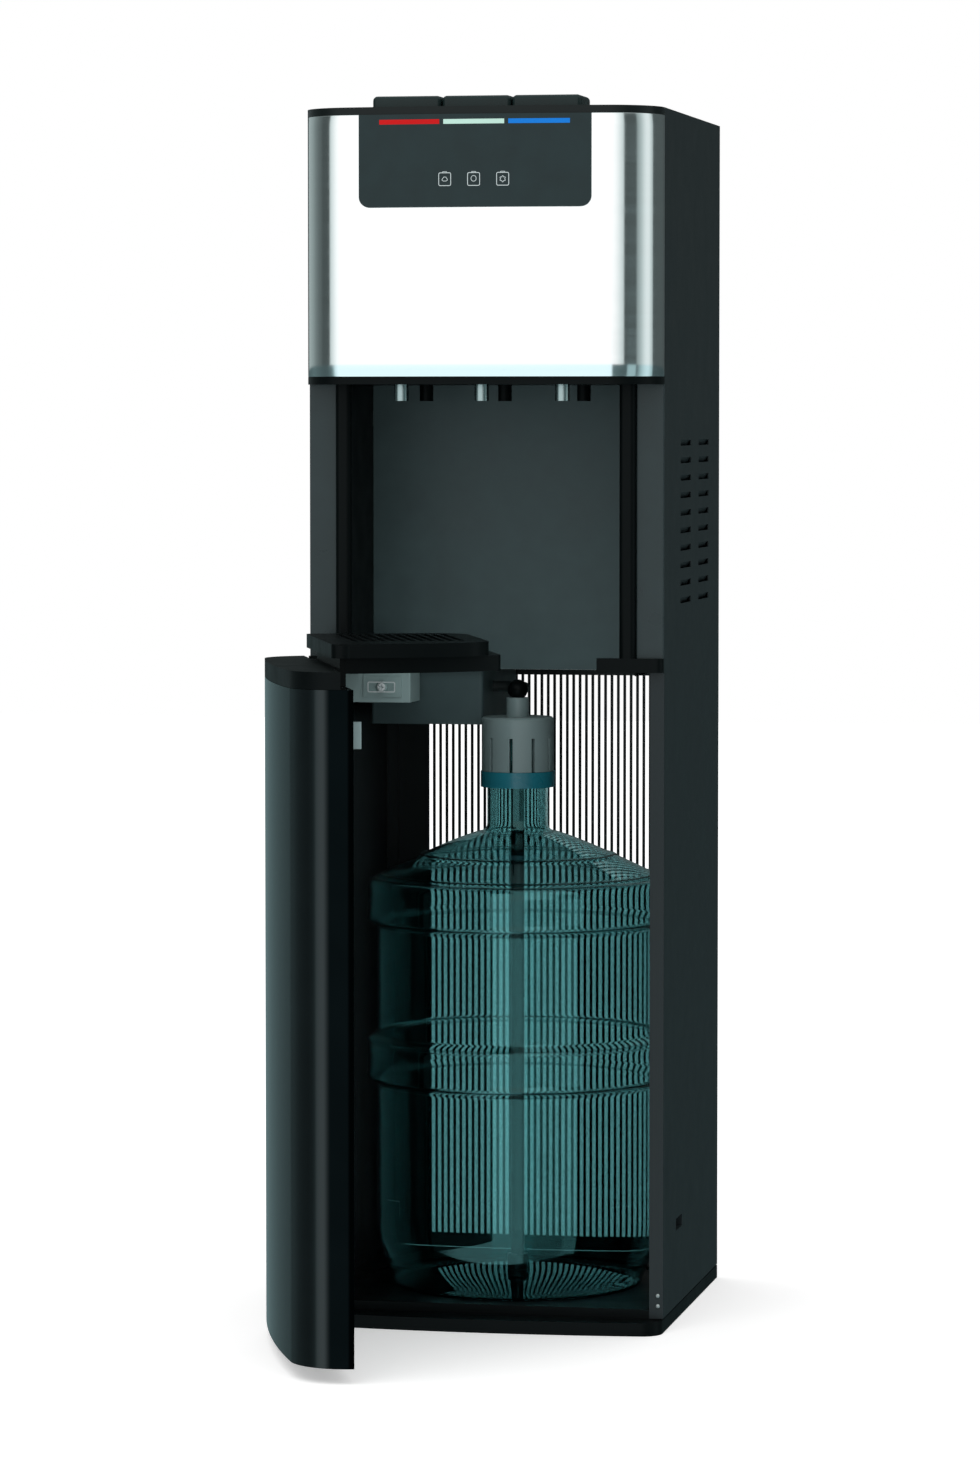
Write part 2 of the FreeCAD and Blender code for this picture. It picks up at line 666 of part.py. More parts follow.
def push_pads():
    for n, label in ((-1, "pad_hot"), (0, "pad_room"), (1, "pad_cold")):
        cap = block(label + "_cap",
                    (f"pad_pitch * ({n}) - pad_width / 2", f"pad_pitch * ({n}) + pad_width / 2"),
                    (PAD_FRONT, f"{PAD_FRONT} + pad_length"),
                    ("cabinet_height - 1", "cabinet_height + pad_rise"))
        cap = rounded(label + "_round", cap, size("pad_corner"),
                      lambda edge: upright(edge) or edge.BoundBox.ZMin > size("cabinet_height") + size("pad_rise") - 0.01)
        stem = post(label + "_stem", "pad_stem_radius", f"pad_pitch * ({n})", PAD_MIDDLE,
                    (f"{SWITCH_TOP} + nib_height + pad_travel + stop_gap", "cabinet_height - 0.5"))
        node(label, fuse(label + "_whole", cap, stem))
    switches = []
    for n in (-1, 0, 1):
        case = block(f"switch_case_{n}", (f"pad_pitch * ({n}) - 10", f"pad_pitch * ({n}) + 10"),
                     (f"{PAD_MIDDLE} - 3.5", f"{PAD_MIDDLE} + 3.5"), (f"{SWITCH_TOP} - 12", SWITCH_TOP))
        nib = post(f"switch_nib_{n}", "1.5", f"pad_pitch * ({n})", PAD_MIDDLE,
                   (f"{SWITCH_TOP} - 1", f"{SWITCH_TOP} + nib_height"))
        switches.append(fuse(f"switch_{n}", case, nib))
    node("tap_switches", group("tap_switches_group", *switches))
    board = block("board_plate", ("-92", "92"), (f"{PAD_MIDDLE} - 18", f"{PAD_MIDDLE} + 16"),
                  (f"{SWITCH_TOP} - 14", f"{SWITCH_TOP} - 12"))
    relay = block("board_relay", ("20", "45"), (f"{PAD_MIDDLE} - 14", f"{PAD_MIDDLE} + 4"),
                  (f"{SWITCH_TOP} - 32", f"{SWITCH_TOP} - 13"))
    choke = block("board_choke", ("-50", "-22"), (f"{PAD_MIDDLE} - 14", f"{PAD_MIDDLE} + 8"),
                  (f"{SWITCH_TOP} - 36", f"{SWITCH_TOP} - 13"))
    legs = [block(f"board_leg_{n}", (f"{x} - 3", f"{x} + 3"), (f"{PAD_MIDDLE} + 10", f"{PAD_MIDDLE} + 16"),
                  (f"{SWITCH_TOP} - 13", HEAD_TOP)) for n, x in enumerate(("-88", "88"))]
    node("control_board", fuse("board_whole", board, relay, choke, *legs))


def taps():
    spouts, valves = [], []
    for n in (-1, 0, 1):
        y = f"{FRONT} - tap_ahead"
        tube = post(f"spout_tube_{n}", "spout_radius", f"tap_pitch * ({n})", y,
                    (f"{BAND_LOW} - spout_drop", "head_bottom + 12"))
        collar = post(f"spout_collar_{n}", "spout_radius + 3", f"tap_pitch * ({n})", y,
                      ("head_bottom", "head_bottom + 4"))
        bore = post(f"spout_bore_{n}", "spout_bore", f"tap_pitch * ({n})", y,
                    (f"{BAND_LOW} - spout_drop - 1", "head_bottom + 13"))
        spouts.append(cut(f"spout_{n}", fuse(f"spout_solid_{n}", tube, collar), bore))
        stub = post(f"valve_stub_{n}", "valve_radius", f"tap_pitch * ({n})", "-valve_setback",
                    (f"{BAND_LOW} - spout_drop", "head_bottom + 1"))
        cell = block(f"valve_cell_{n}", (f"tap_pitch * ({n}) - 13", f"tap_pitch * ({n}) + 13"),
                     ("-valve_setback - 13", "-valve_setback + 13"), ("head_bottom", "head_bottom + 30"))
        coil = rod(f"valve_coil_{n}", "11", f"tap_pitch * ({n})",
                   ("-valve_setback - 45", "-valve_setback - 12"), "head_bottom + 16", "y")
        valves.append(fuse(f"valve_{n}", stub, cell, coil))
    node("tap_spouts", group("tap_spouts_group", *spouts))
    node("tap_valves", group("tap_valves_group", *valves))


# ---------------------------------------------------------------------------------------------
# Alcove
# ---------------------------------------------------------------------------------------------
def alcove():
    column_in = f"({HALF} - column_width)"
    front_face = f"({FRONT} - column_thick)"
    for side, sign in (("right", ""), ("left", "-")):
        def span(low, high):
            return (f"{sign}({low})", f"{sign}({high})") if sign == "" else (f"-({high})", f"-({low})")
        face = block(f"column_{side}_face", span(column_in, HALF), (front_face, f"{FRONT}"),
                     ("column_foot", BAND_LOW))
        face = rounded(f"column_{side}_round", face, 1.2,
                       lambda edge: upright(edge) and edge.BoundBox.YMax < front - 1)
        node(f"column_{side}", face)

        trim = block(f"trim_{side}", span(f"{column_in} - trim_width", f"{column_in} - 0.1"),
                     (f"{FRONT} - trim_forward", front_face),
                     ("column_foot", BAND_LOW))
        trim = rounded(f"trim_{side}_round", trim, 5.0,
                       lambda edge: upright(edge) and edge.BoundBox.YMax < front - 5)
        wall = block(f"alcove_wall_{side}_sheet",
                     span(f"{column_in} - alcove_wall - 0.1", f"{column_in} - 0.1"),
                     (f"{front_face} - 0.5", ALCOVE_BACK), ("shelf_level + shelf_thick", BAND_LOW))
        foot_cut = block(f"alcove_foot_{side}", span(f"{column_in} - 3", f"{column_in} + 3"),
                         (f"{FRONT} - 20", f"{FRONT} + 0.2"),
                         ("shelf_level - 1", "column_foot"))
        node(f"alcove_wall_{side}",
             cut(f"alcove_wall_{side}_cut", fuse(f"alcove_wall_{side}_whole", trim, wall), foot_cut))

        sill = block(f"sill_{side}_bar", span(f"{HALF} - sill_width", HALF),
                     (f"{FRONT} - sill_forward", FRONT),
                     ("column_foot - sill_height", "column_foot"))
        if side == "left":
            sill = rounded("sill_left_round", sill, 2.8,
                           lambda edge: upright(edge) and edge.BoundBox.YMax < front - 5 and edge.BoundBox.XMax < -half + 5)
            hole = post("sill_pin_hole", "pin_radius", PIN_X, PIN_Y,
                        ("column_foot - sill_height - 1", "column_foot - 4"))
            sill = cut("sill_left_bored", sill, hole)
        else:
            sill = rounded("sill_right_round", sill, 6.0,
                           lambda edge: upright(edge) and edge.BoundBox.YMax < front - 5 and edge.BoundBox.XMin > half - 5)
        node(f"sill_{side}", sill)
    back = block("alcove_back_sheet",
                 (f"-({column_in} - alcove_wall - 0.3)", f"{column_in} - alcove_wall - 0.3"),
                 (ALCOVE_BACK, f"{ALCOVE_BACK} + 2"), ("shelf_level + 0.2", f"{BAND_LOW}"))
    node("alcove_back", back)
    pins = [post("pin_top", "pin_radius", PIN_X, PIN_Y,
                 ("column_foot - 4 - pin_length - 4", "column_foot - 4")),
            post("pin_low", "pin_radius", PIN_X, PIN_Y, ("base_lip - 6", "base_lip + pin_length - 4"))]
    node("hinge_pins", group("hinge_pins_group", *pins))


# ---------------------------------------------------------------------------------------------
# Door, drawn shut and swung open at the end
# ---------------------------------------------------------------------------------------------
def door():
    outer = bowed("door_outer", ("door_bottom", "door_top"), back=DOOR_BACK)
    heel = block("door_heel_block", (f"-{HALF}", f"{HALF} + 1"), (f"{FRONT} - 90", DOOR_BACK),
                 ("door_bottom - 1", "door_top + 1"))
    heel = rounded("door_heel", heel, 2.8,
                   lambda edge: upright(edge) and edge.BoundBox.YMin > front - 4 and edge.BoundBox.XMax < 0)
    outer = common("door_outer_heeled", outer, heel)
    inner = bowed("door_inner", ("door_bottom + door_wall", "door_top - door_wall"), inset="door_wall",
                  corner_cut=size("door_wall"), back=f"{DOOR_BACK} + 1")
    shell = cut("door_shell", outer, inner)
    boss = block("door_boss", (f"-{HALF} + door_wall / 2", f"-{HALF} + pin_boss"),
                 (f"{DOOR_BACK} - pin_boss", f"{DOOR_BACK} - 0.6"), ("door_bottom", "door_top"))
    core = common("door_boss_core", boss, outer)
    bores = [post("door_bore_top", "pin_radius + 0.05", PIN_X, PIN_Y,
                  ("door_top - pin_length - 4", "door_top + 1")),
             post("door_bore_low", "pin_radius + 0.05", PIN_X, PIN_Y,
                  ("door_bottom - 1", "door_bottom + pin_length"))]
    seam = "(door_seam - seam_gap / 2)"
    rim = "(door_seam + seam_gap / 2)"
    tall = ("door_bottom - 1", "door_top + 1")
    deep = (f"{FRONT} - 90", f"{FRONT} + 5")
    middle = common("door_front_part", shell, block("door_middle", (f"-{seam}", seam), deep, tall))
    node("door_front_panel", middle)
    latch = common("door_latch_part", shell, block("door_latch_side", (rim, f"{HALF} + 10"), deep, tall))
    node("door_cheek_latch", latch)
    hinge = common("door_hinge_part", shell,
                   block("door_hinge_side", (f"-{HALF} - 10", f"-{rim}"), deep, tall))
    hinge = fuse("door_hinge_bossed", hinge, core)
    node("door_cheek_hinge", cut("door_hinge_bored", hinge, *bores))

    inside = f"({HALF} - door_wall - 0.3)"
    plate = block("inner_plate", (f"-{inside} + 9", inside), (f"{DOOR_BACK} - inner_panel_wall", DOOR_BACK),
                  ("door_bottom + door_wall + 0.3", "door_top - door_wall - 0.3"))
    ribs = [block(f"inner_rib_{n}", (f"{x} - 1", f"{x} + 1"),
                  (f"{DOOR_BACK} - 20", f"{DOOR_BACK} - inner_panel_wall"),
                  ("door_bottom + door_wall + 0.3", "door_top - door_wall - 0.3")) for n,
            x in enumerate(("-70", "0", "70"))]
    node("door_inner_panel", fuse("inner_panel_whole", plate, *ribs))

    cap_low = "(door_top + 0.3)"
    cap = bowed("cap_plan", (cap_low, CAP_TOP), back=DOOR_BACK)
    rooms = []
    for side, span in (("right", (f"{HALF} - sill_width - 2", f"{HALF} + 5")),
                       ("left", (f"-{HALF} - 5", f"-{HALF} + sill_width + 2"))):
        rooms.append(block(f"cap_{side}_room", span, (f"{FRONT} - sill_forward - 1.5", f"{FRONT} + 5"),
                           (f"{cap_low} - 1", f"{CAP_TOP} + 1")))
    floor_low = f"({FLOOR_TOP} - floor_thick)"
    floor = block("alcove_floor_plan", (f"-{HALF} + sill_width + 4", HALF),
                  (f"{DOOR_BACK} - 5", f"{ALCOVE_BACK} - floor_gap"),
                  (floor_low, FLOOR_TOP))
    reach = post("alcove_floor_disc", "cabinet_width - pin_inset - sill_width - sill_clear", PIN_X, PIN_Y,
                 (floor_low, FLOOR_TOP))
    floor = rounded("alcove_floor_round", common("alcove_floor", floor, reach), 8.0,
                    lambda edge: upright(edge) and edge.BoundBox.YMin > front + 40)
    node("door_cap", fuse("door_cap_whole", cut("door_cap_cut", cap, *rooms), floor))

    keeper = block("latch_tongue_bar", (f"{HALF} - flange_width - 6", f"{HALF} - flange_width - 1"),
                   (DOOR_BACK, f"{DOOR_BACK} + 8"),
                   ("door_top - 48.5", "door_top - 26.5"))
    node("latch_tongue",
         rounded("latch_tongue_round", keeper, 1.5,
                 lambda edge: upright(edge) and edge.BoundBox.YMin > front + 3))

    body = tray_plan("tray_body", "0", (TRAY_BOTTOM, TRAY_TOP))
    lug = post("tray_lug", "lug_radius", f"{PIN_X} + {TRAY_SWING} - 7", f"{FRONT} - 5",
               (TRAY_BOTTOM, f"{TRAY_TOP} - 1"))
    well = tray_plan("tray_well", "tray_wall", (f"{TRAY_BOTTOM} + tray_wall", f"{TRAY_TOP} + 1"))
    node("drip_tray", cut("drip_tray_cut", fuse("tray_lugged", body, lug), well))

    plate = tray_plan("grille_plate", "tray_wall + fit_gap", (f"{TRAY_TOP} - grille_thick", TRAY_TOP))
    left, right = f"-({TRAY_SIDE}) + 18", f"-({TRAY_SIDE}) + 18 + grille_span"
    near, deep = f"{FRONT} + 4", f"{FRONT} + 12 + grille_slots * {SLOT_PITCH} - grille_bar"
    feet = [block(f"grille_foot_{n}", (f"{x} - 2", f"{x} + 2"), (f"{y} - 2", f"{y} + 2"),
                  (f"{TRAY_BOTTOM} + tray_wall", f"{TRAY_TOP} - grille_thick")) for n, (x, y) in
            enumerate(((left, near), (right, near), (left, deep), (right, deep)))]
    slots = [block(f"grille_slot_{n}", (left, right), (f"{FRONT} + 10 + {n} * {SLOT_PITCH}",
                   f"{FRONT} + 10 + {n} * {SLOT_PITCH} + {SLOT_PITCH} - grille_bar"),
                   (f"{TRAY_TOP} - grille_thick - 1", f"{TRAY_TOP} + 1"))
             for n in range(int(size("grille_slots")))]
    node("drip_grille", fuse("drip_grille_whole", cut("grille_slotted", plate, *slots), *feet))


def tray_plan(name, inset, z):
    """The tray's plan: a slab whose free end follows its own swing about the hinge pins."""
    slab = block(name + "_slab", (f"-({TRAY_SIDE}) + ({inset})", HALF),
                 (f"{FRONT} - tray_front + ({inset})", f"{ALCOVE_BACK} - tray_gap - ({inset})"), z)
    disc = post(name + "_disc", f"{TRAY_SWING} - ({inset})", PIN_X, PIN_Y, z)
    plan = common(name + "_plan", slab, disc)
    near = rounded(name + "_near", plan, 6.0, lambda edge: upright(edge) and edge.BoundBox.YMin < front)
    return rounded(name + "_deep", near, size("tray_corner") - value_of(inset),
                   lambda edge: upright(edge) and edge.BoundBox.YMin > front + 60)


# ---------------------------------------------------------------------------------------------
# Bottle and probe
# ---------------------------------------------------------------------------------------------
def bottle_outline(shrink):
    """The bottle's side from the axis at the foot up to the neck, as edges in the XZ plane."""
    radius = size("bottle_radius") - shrink
    neck = size("neck_radius") - shrink
    foot = size("base_height") - size("dish_depth") + shrink
    top = size("base_height") - size("dish_depth") + size("bottle_height")
    neck_low = top - size("neck_length") - shrink
    body_top = neck_low - size("shoulder_rise")
    edges = []

    def at(r, z):
        return Vector(r, 0, z)

    def line(a, b):
        edges.append(Part.LineSegment(a, b).toShape())

    def arc(a, m, b):
        edges.append(Part.Arc(a, m, b).toShape())

    base = size("bottle_foot") - shrink
    waist = radius - size("waist_depth")
    slope = size("waist_slope")
    line(at(0, foot + 10), at(base - 30, foot + 10))
    line(at(base - 30, foot + 10), at(base - 5, foot))
    line(at(base - 5, foot), at(base, foot))
    line(at(base, foot), at(waist - 5, foot + 19))
    line(at(waist - 5, foot + 19), at(waist, foot + 56))
    place = at(waist, foot + 56)
    for low, high in BANDS:
        rise = at(waist, low - slope)
        line(place, rise)
        line(rise, at(radius, low))
        place = at(radius, min(high, body_top - 6))
        line(at(radius, low), place)
        if high < body_top - 6:
            fall = at(waist, high + slope)
            line(place, fall)
            place = fall
    line(place, at(radius - 4, body_top + 1))
    line(at(radius - 4, body_top + 1), at(radius - 14, body_top + 6.5))
    arc(at(radius - 14, body_top + 6.5), at((radius + neck) / 2 + 3, neck_low - 19),
        at(neck + 7, neck_low - 2))
    line(at(neck + 7, neck_low - 2), at(neck, neck_low + 5))
    line(at(neck, neck_low + 5), at(neck, top))
    return edges, foot, top, neck


def bottle():
    centre = Vector(0, -size("bottle_setback"), 0)
    outside, foot, top, neck = bottle_outline(0.0)
    inside, inner_foot, inner_top, inner_neck = bottle_outline(size("bottle_wall"))

    def turned(edges, low, high, radius):
        closing = [Part.LineSegment(Vector(radius, 0, high), Vector(0, 0, high)).toShape(),
                   Part.LineSegment(Vector(0, 0, high), Vector(0, 0, low)).toShape()]
        face = Part.Face(Part.Wire(edges + closing))
        return face.revolve(Vector(0, 0, 0), Vector(0, 0, 1), 360)

    shell = turned(outside, foot + 10, top,
                   neck).cut(turned(inside, inner_foot + 10, inner_top, inner_neck))
    vessel = feature("Part::Feature", "water_bottle_shell")
    vessel.Shape = shell.Solids[0]
    vessel.Placement = FreeCAD.Placement(centre, FreeCAD.Rotation())
    node("water_bottle", vessel)

    neck_top = "(base_height - dish_depth + bottle_height)"
    cap_top = CAP_HOOD_TOP
    cap_low = f"({cap_top} - cap_height)"
    hood = post("cap_hood", "cap_radius", HOSE_X, HOSE_Y, (cap_low, cap_top))
    hood = chamfered("cap_hood_round", hood, 1.6,
                     lambda edge: edge.BoundBox.ZMin > value_of(cap_top) - 0.01)
    hollow = post("cap_hollow", "neck_radius + fit_gap", HOSE_X, HOSE_Y,
                  (f"{cap_low} - 1", f"{cap_top} - cap_wall"))
    slots = []
    for n in range(int(size("cap_slots"))):
        slot = block(f"cap_slot_{n}", ("neck_radius - 1", "cap_radius + 1"),
                     ("-cap_slot_width / 2", "cap_slot_width / 2"),
                     (f"{cap_low} - 1", f"{cap_low} + cap_slot_height"))
        slot.Placement = FreeCAD.Placement(Vector(0, 0, 0), FreeCAD.Rotation())
        slots.append(slot)
    doc.recompute()
    turned_slots = []
    for n, slot in enumerate(slots):
        turn = feature("Part::Feature", f"cap_slot_turned_{n}")
        moved = slot.Shape.copy()
        moved.rotate(Vector(0, 0, 0), Vector(0, 0, 1), 360.0 * (n + 0.5) / len(slots))
        moved.translate(centre)
        turn.Shape = moved
        turned_slots.append(turn)
    stem = post("cap_stem", "stem_radius", HOSE_X, HOSE_Y,
                (f"{cap_top} - cap_wall", f"{cap_top} + stem_height"))
    plug = post("cap_plug", "neck_radius - bottle_wall - 0.3", HOSE_X, HOSE_Y,
                (f"{neck_top} - 22", f"{cap_top} - cap_wall"))
    bore = post("cap_bore", "dip_radius", HOSE_X, HOSE_Y, (f"{neck_top} - 23", f"{cap_top} + 2"))
    cap = cut("probe_cap_cut",
              fuse("probe_cap_whole", cut("cap_skirt", hood, hollow, *turned_slots), stem, plug), bore)
    node("probe_cap", cap)

    ring = post("collar_ring", "cap_radius + 0.8", HOSE_X, HOSE_Y,
                (f"{cap_low} - collar_height", f"{cap_low} - 0.2"))
    ring_bore = post("collar_bore", "neck_radius + 0.1", HOSE_X, HOSE_Y,
                     (f"{cap_low} - collar_height - 1", f"{cap_low}"))
    node("bottle_collar", cut("bottle_collar_cut", ring, ring_bore))

    tube = post("dip_tube_rod", "dip_radius", HOSE_X, HOSE_Y,
                ("base_height - dish_depth + 14", f"{cap_top} + 2"))
    strainer = post("dip_strainer", "dip_radius + 3", HOSE_X, HOSE_Y,
                    ("base_height - dish_depth + 12.3", "base_height - dish_depth + 26"))
    node("dip_tube", fuse("dip_tube_whole", tube, strainer))

    ball = feature("Part::Sphere", "elbow_ball")
    ball.setExpression("Radius", bound("ball_radius"))
    for axis, place in (("x", HOSE_X), ("y", HOSE_Y), ("z", BALL_LEVEL)):
        ball.setExpression(f"Placement.Base.{axis}", bound(place))
    seat = post("elbow_seat", "stem_radius + 1", HOSE_X, HOSE_Y, (f"{cap_top}", f"{cap_top} + stem_height"))
    socket = rod("elbow_socket", "hose_radius", HOSE_X, (HOSE_START, f"{HOSE_START} + 9"), BALL_LEVEL, "y")
    node("probe_elbow", cut("probe_elbow_cut", ball, seat, socket))


def tube_along(points, radius, bend):
    """A round tube along straight runs joined by tangent arcs."""
    edges = []
    here = points[0]
    for before, corner, after in zip(points, points[1:], points[2:]):
        into = (before - corner).normalize()
        out = (after - corner).normalize()
        turn = math.pi - into.getAngle(out)
        back = bend * math.tan(turn / 2)
        start = corner + into * back
        end = corner + out * back
        middle = (into + out).normalize() * (bend / math.cos(turn / 2) - bend)
        edges.append(Part.LineSegment(here, start).toShape())
        edges.append(Part.Arc(start, corner + middle, end).toShape())
        here = end
    edges.append(Part.LineSegment(here, points[-1]).toShape())
    spine = Part.Wire(edges)
    tangent = edges[0].tangentAt(edges[0].FirstParameter)
    ring = Part.Wire(Part.Circle(points[0], tangent, radius).toShape())
    return spine.makePipeShell([ring], True, False), spine.Length


def hose_run(name, points, bend):
    tube, length = tube_along(points, size("hose_radius"), bend)
    made = feature("Part::Feature", name)
    made.Shape = tube
    print(f"{name}: {length:.0f} mm long, bends of {bend:.0f} mm radius")
    return made


def pumping():
    level = value_of(BALL_LEVEL)
    pump_x, pump_y = value_of(PUMP_X), value_of(PUMP_Y)
    wall = -size("pump_right")
    ahead = value_of(HOSE_START)
    probe_run = hose_run("probe_hose",
                         [Vector(0, ahead, level), Vector(0, pump_y, level),
                          Vector(wall - 6, pump_y, level)], 22.0)
    lift = size("shelf_level") + size("hose_lift")
    crown = value_of(f"{HEAD_TOP} - cold_headroom + 38")
    outlet_x, outlet_y = value_of("cold_x - 20"), value_of(f"{MACHINE_Y} - 20")
    between = value_of("-hot_x + hot_radius + heater_thick + hose_radius + 7")
    supply = [Vector(pump_x, outlet_y, size("shelf_level") - 6), Vector(pump_x, outlet_y, lift),
              Vector(between, outlet_y, lift),
              Vector(between, outlet_y, crown), Vector(outlet_x, outlet_y, crown),
              Vector(outlet_x, outlet_y, crown - 24)]
    node("water_hoses", group("water_hoses_group", probe_run, hose_run("supply_hose", supply, 20.0)))

    left, right = "-pump_left", "-pump_right"
    level = ("shelf_level - pump_drop", "shelf_level - 0.2")
    case = block("pump_case", (left, right), ("pump_front", "pump_rear"), level)
    case = rounded("pump_case_round", case, 3.0, lambda edge: upright(edge))
    room = block("pump_room", (f"{left} + pump_wall", f"{right} - pump_wall"),
                 ("pump_front + pump_wall", "pump_rear - pump_wall"),
                 (f"{level[0]} + pump_wall", f"{level[1]} + 1"))
    way = rod("pump_hose_way", "hose_radius + fit_gap", ("-pump_right - 8", "-pump_right + 1"), PUMP_Y,
              BALL_LEVEL, "x")
    node("pump_housing", cut("pump_housing_cut", case, room, way))
    centre_z = f"({level[0]} + pump_wall + motor_radius + 0.3)"
    motor = rod("pump_motor", "motor_radius", PUMP_X, (f"{PUMP_Y} + 17", "pump_rear - 8"), centre_z, "y")
    chamber = block("pump_chamber", (f"{PUMP_X} - 20", f"{PUMP_X} + 20"),
                    (f"{PUMP_Y} - 18", f"{PUMP_Y} + 18"),
                    (f"{centre_z} - 19", f"{centre_z} + 18"))
    spigot = post("pump_spigot", "hose_radius", PUMP_X, PUMP_Y, (f"{centre_z} + 14", "shelf_level - 6.2"))
    intake = rod("pump_intake", "hose_radius", (f"{PUMP_X} + 19", "-pump_right - 6.2"), PUMP_Y, BALL_LEVEL,
                 "x")
    node("water_pump", fuse("water_pump_whole", motor, chamber, spigot, intake))

    box = block("service_box_case", (f"-{INNER}", "-box_right"), ("box_front", "box_front + box_depth"),
                ("box_low", "box_high"))
    box = rounded("service_box_round", box, 1.5,
                  lambda edge: upright(edge) and edge.BoundBox.XMax > -size("box_right") - 5)
    node("service_box", box)
    cover = block("service_cover_plate", ("-box_right - 42", "-box_right - 8"),
                  ("box_front - 1.5", "box_front"),
                  ("box_low + 5", "box_high - 5"))
    knob = rod("service_cover_screw", "5", "-box_right - 25", ("box_front - 5", "box_front - 1"),
               "(box_low + box_high) / 2", "y")
    knob = chamfered("service_screw_round", knob, 1.5,
                     lambda edge: edge.BoundBox.YMax < size("box_front") - 4.5)
    node("service_box_cover", fuse("service_cover_whole", cover, knob))


# ---------------------------------------------------------------------------------------------
# Cooling and heating
# ---------------------------------------------------------------------------------------------
def machinery():
    deck = "(shelf_level + shelf_thick)"
    low = f"({deck} + foot_height)"
    drum = post("compressor_drum", "compressor_radius", "compressor_x", MACHINE_Y,
                (low, f"{low} + compressor_height - foot_height"))
    drum = rounded("compressor_round", drum, size("compressor_radius") * 0.45, level_ring)
    plate = block("compressor_plate", ("compressor_x - 66", "compressor_x + 66"),
                  (f"{MACHINE_Y} - 45", f"{MACHINE_Y} + 45"),
                  (low, f"{low} + 3"))
    hollow = post("compressor_hollow", "compressor_radius - 4", "compressor_x", MACHINE_Y,
                  (f"{low} + 30", f"{low} + compressor_height - foot_height - 30"))
    node("compressor", cut("compressor_cut", fuse("compressor_whole", drum, plate), hollow))
    feet = []
    for n, (x, y) in enumerate(((-1, -1), (1, -1), (-1, 1), (1, 1))):
        feet.append(post(f"compressor_foot_{n}", "8", f"compressor_x + ({x}) * 56",
                         f"{MACHINE_Y} + ({y}) * 36", (deck, low)))
    node("compressor_feet", group("compressor_feet_group", *feet))

    shelf = "(tank_level + shelf_thick)"
    cold = post("cold_tank_can", "cold_radius", "cold_x", MACHINE_Y,
                (f"{shelf} + jacket_thick", f"{shelf} + jacket_thick + {COLD_HEIGHT}"))
    cold = chamfered("cold_tank_round", cold, 8.0, level_ring)
    outlet = post("cold_tank_outlet", "5", "cold_x - 20", f"{MACHINE_Y} - 20",
                  (f"{shelf} + jacket_thick + {COLD_HEIGHT} - 1",
                   f"{shelf} + jacket_thick + {COLD_HEIGHT} + 14"))
    hollow = post("cold_tank_hollow", "cold_radius - tank_wall - 4", "cold_x", MACHINE_Y,
                  (f"{shelf} + jacket_thick + tank_wall + 4",
                   f"{shelf} + jacket_thick + {COLD_HEIGHT} - tank_wall - 4"))
    node("cold_tank", cut("cold_tank_cut", fuse("cold_tank_whole", cold, outlet), hollow))
    jacket = post("jacket_outer", "cold_radius + jacket_thick", "cold_x", MACHINE_Y,
                  (shelf, f"{shelf} + jacket_thick + {COLD_HEIGHT} - 12"))
    room = post("jacket_room", "cold_radius", "cold_x", MACHINE_Y,
                (f"{shelf} + jacket_thick", f"{shelf} + jacket_thick + {COLD_HEIGHT}"))
    floor = post("jacket_floor_room", "cold_radius", "cold_x", MACHINE_Y,
                 (f"{shelf} + jacket_thick - 0.01", f"{shelf} + jacket_thick + 1"))
    node("cold_tank_jacket", cut("cold_tank_jacket_cut", jacket, room, floor))
    hot = post("hot_tank_can", "hot_radius", "-hot_x", MACHINE_Y,
               (f"{shelf} + hot_foot", f"{shelf} + hot_foot + {HOT_HEIGHT}"))
    hot = chamfered("hot_tank_round", hot, 10.0, level_ring)
    legs = [post(f"hot_tank_leg_{n}", "4", f"-hot_x + ({x}) * 20", f"{MACHINE_Y} + ({y}) * 20",
                 (shelf, f"{shelf} + 12"))
            for n, (x, y) in enumerate(((-1, -1), (1, -1), (0, 1)))]
    hollow = post("hot_tank_hollow", "hot_radius - tank_wall - 4", "-hot_x", MACHINE_Y,
                  (f"{shelf} + 14 + tank_wall", f"{shelf} + 6 + {HOT_HEIGHT} - tank_wall"))
    node("hot_tank", cut("hot_tank_cut", fuse("hot_tank_whole", hot, *legs), hollow))
    band = post("heater_outer", "hot_radius + heater_thick", "-hot_x", MACHINE_Y,
                (f"{shelf} + hot_foot + {HOT_HEIGHT} * 0.2", f"{shelf} + hot_foot + {HOT_HEIGHT} * 0.43"))
    hole = post("heater_hole", "hot_radius", "-hot_x", MACHINE_Y,
                (shelf, f"{shelf} + hot_foot + {HOT_HEIGHT}"))
    node("heater_band", cut("heater_band_cut", band, hole))

    passes = int(size("coil_passes"))
    pitch = size("coil_pitch")
    reach = size("coil_half") - pitch / 2
    depth = rear - size("coil_tube")
    coil_low = size("shelf_level") + size("coil_rise")
    edges = []
    for n in range(passes):
        z = coil_low + n * pitch
        a, b = (-reach, reach) if n % 2 == 0 else (reach, -reach)
        edges.append(Part.LineSegment(Vector(a, depth, z), Vector(b, depth, z)).toShape())
        if n < passes - 1:
            bulge = math.copysign(pitch / 2, b)
            edges.append(Part.Arc(Vector(b, depth, z), Vector(b + bulge, depth, z + pitch / 2),
                                  Vector(b, depth, z + pitch)).toShape())
    spine = Part.Wire(edges)
    ring = Part.Wire(Part.Circle(Vector(-reach, depth, coil_low), Vector(1, 0, 0),
                                 size("coil_tube")).toShape())
    coil = feature("Part::Feature", "condenser_tube")
    coil.Shape = spine.makePipeShell([ring], True, False)
    node("condenser_coil", coil)


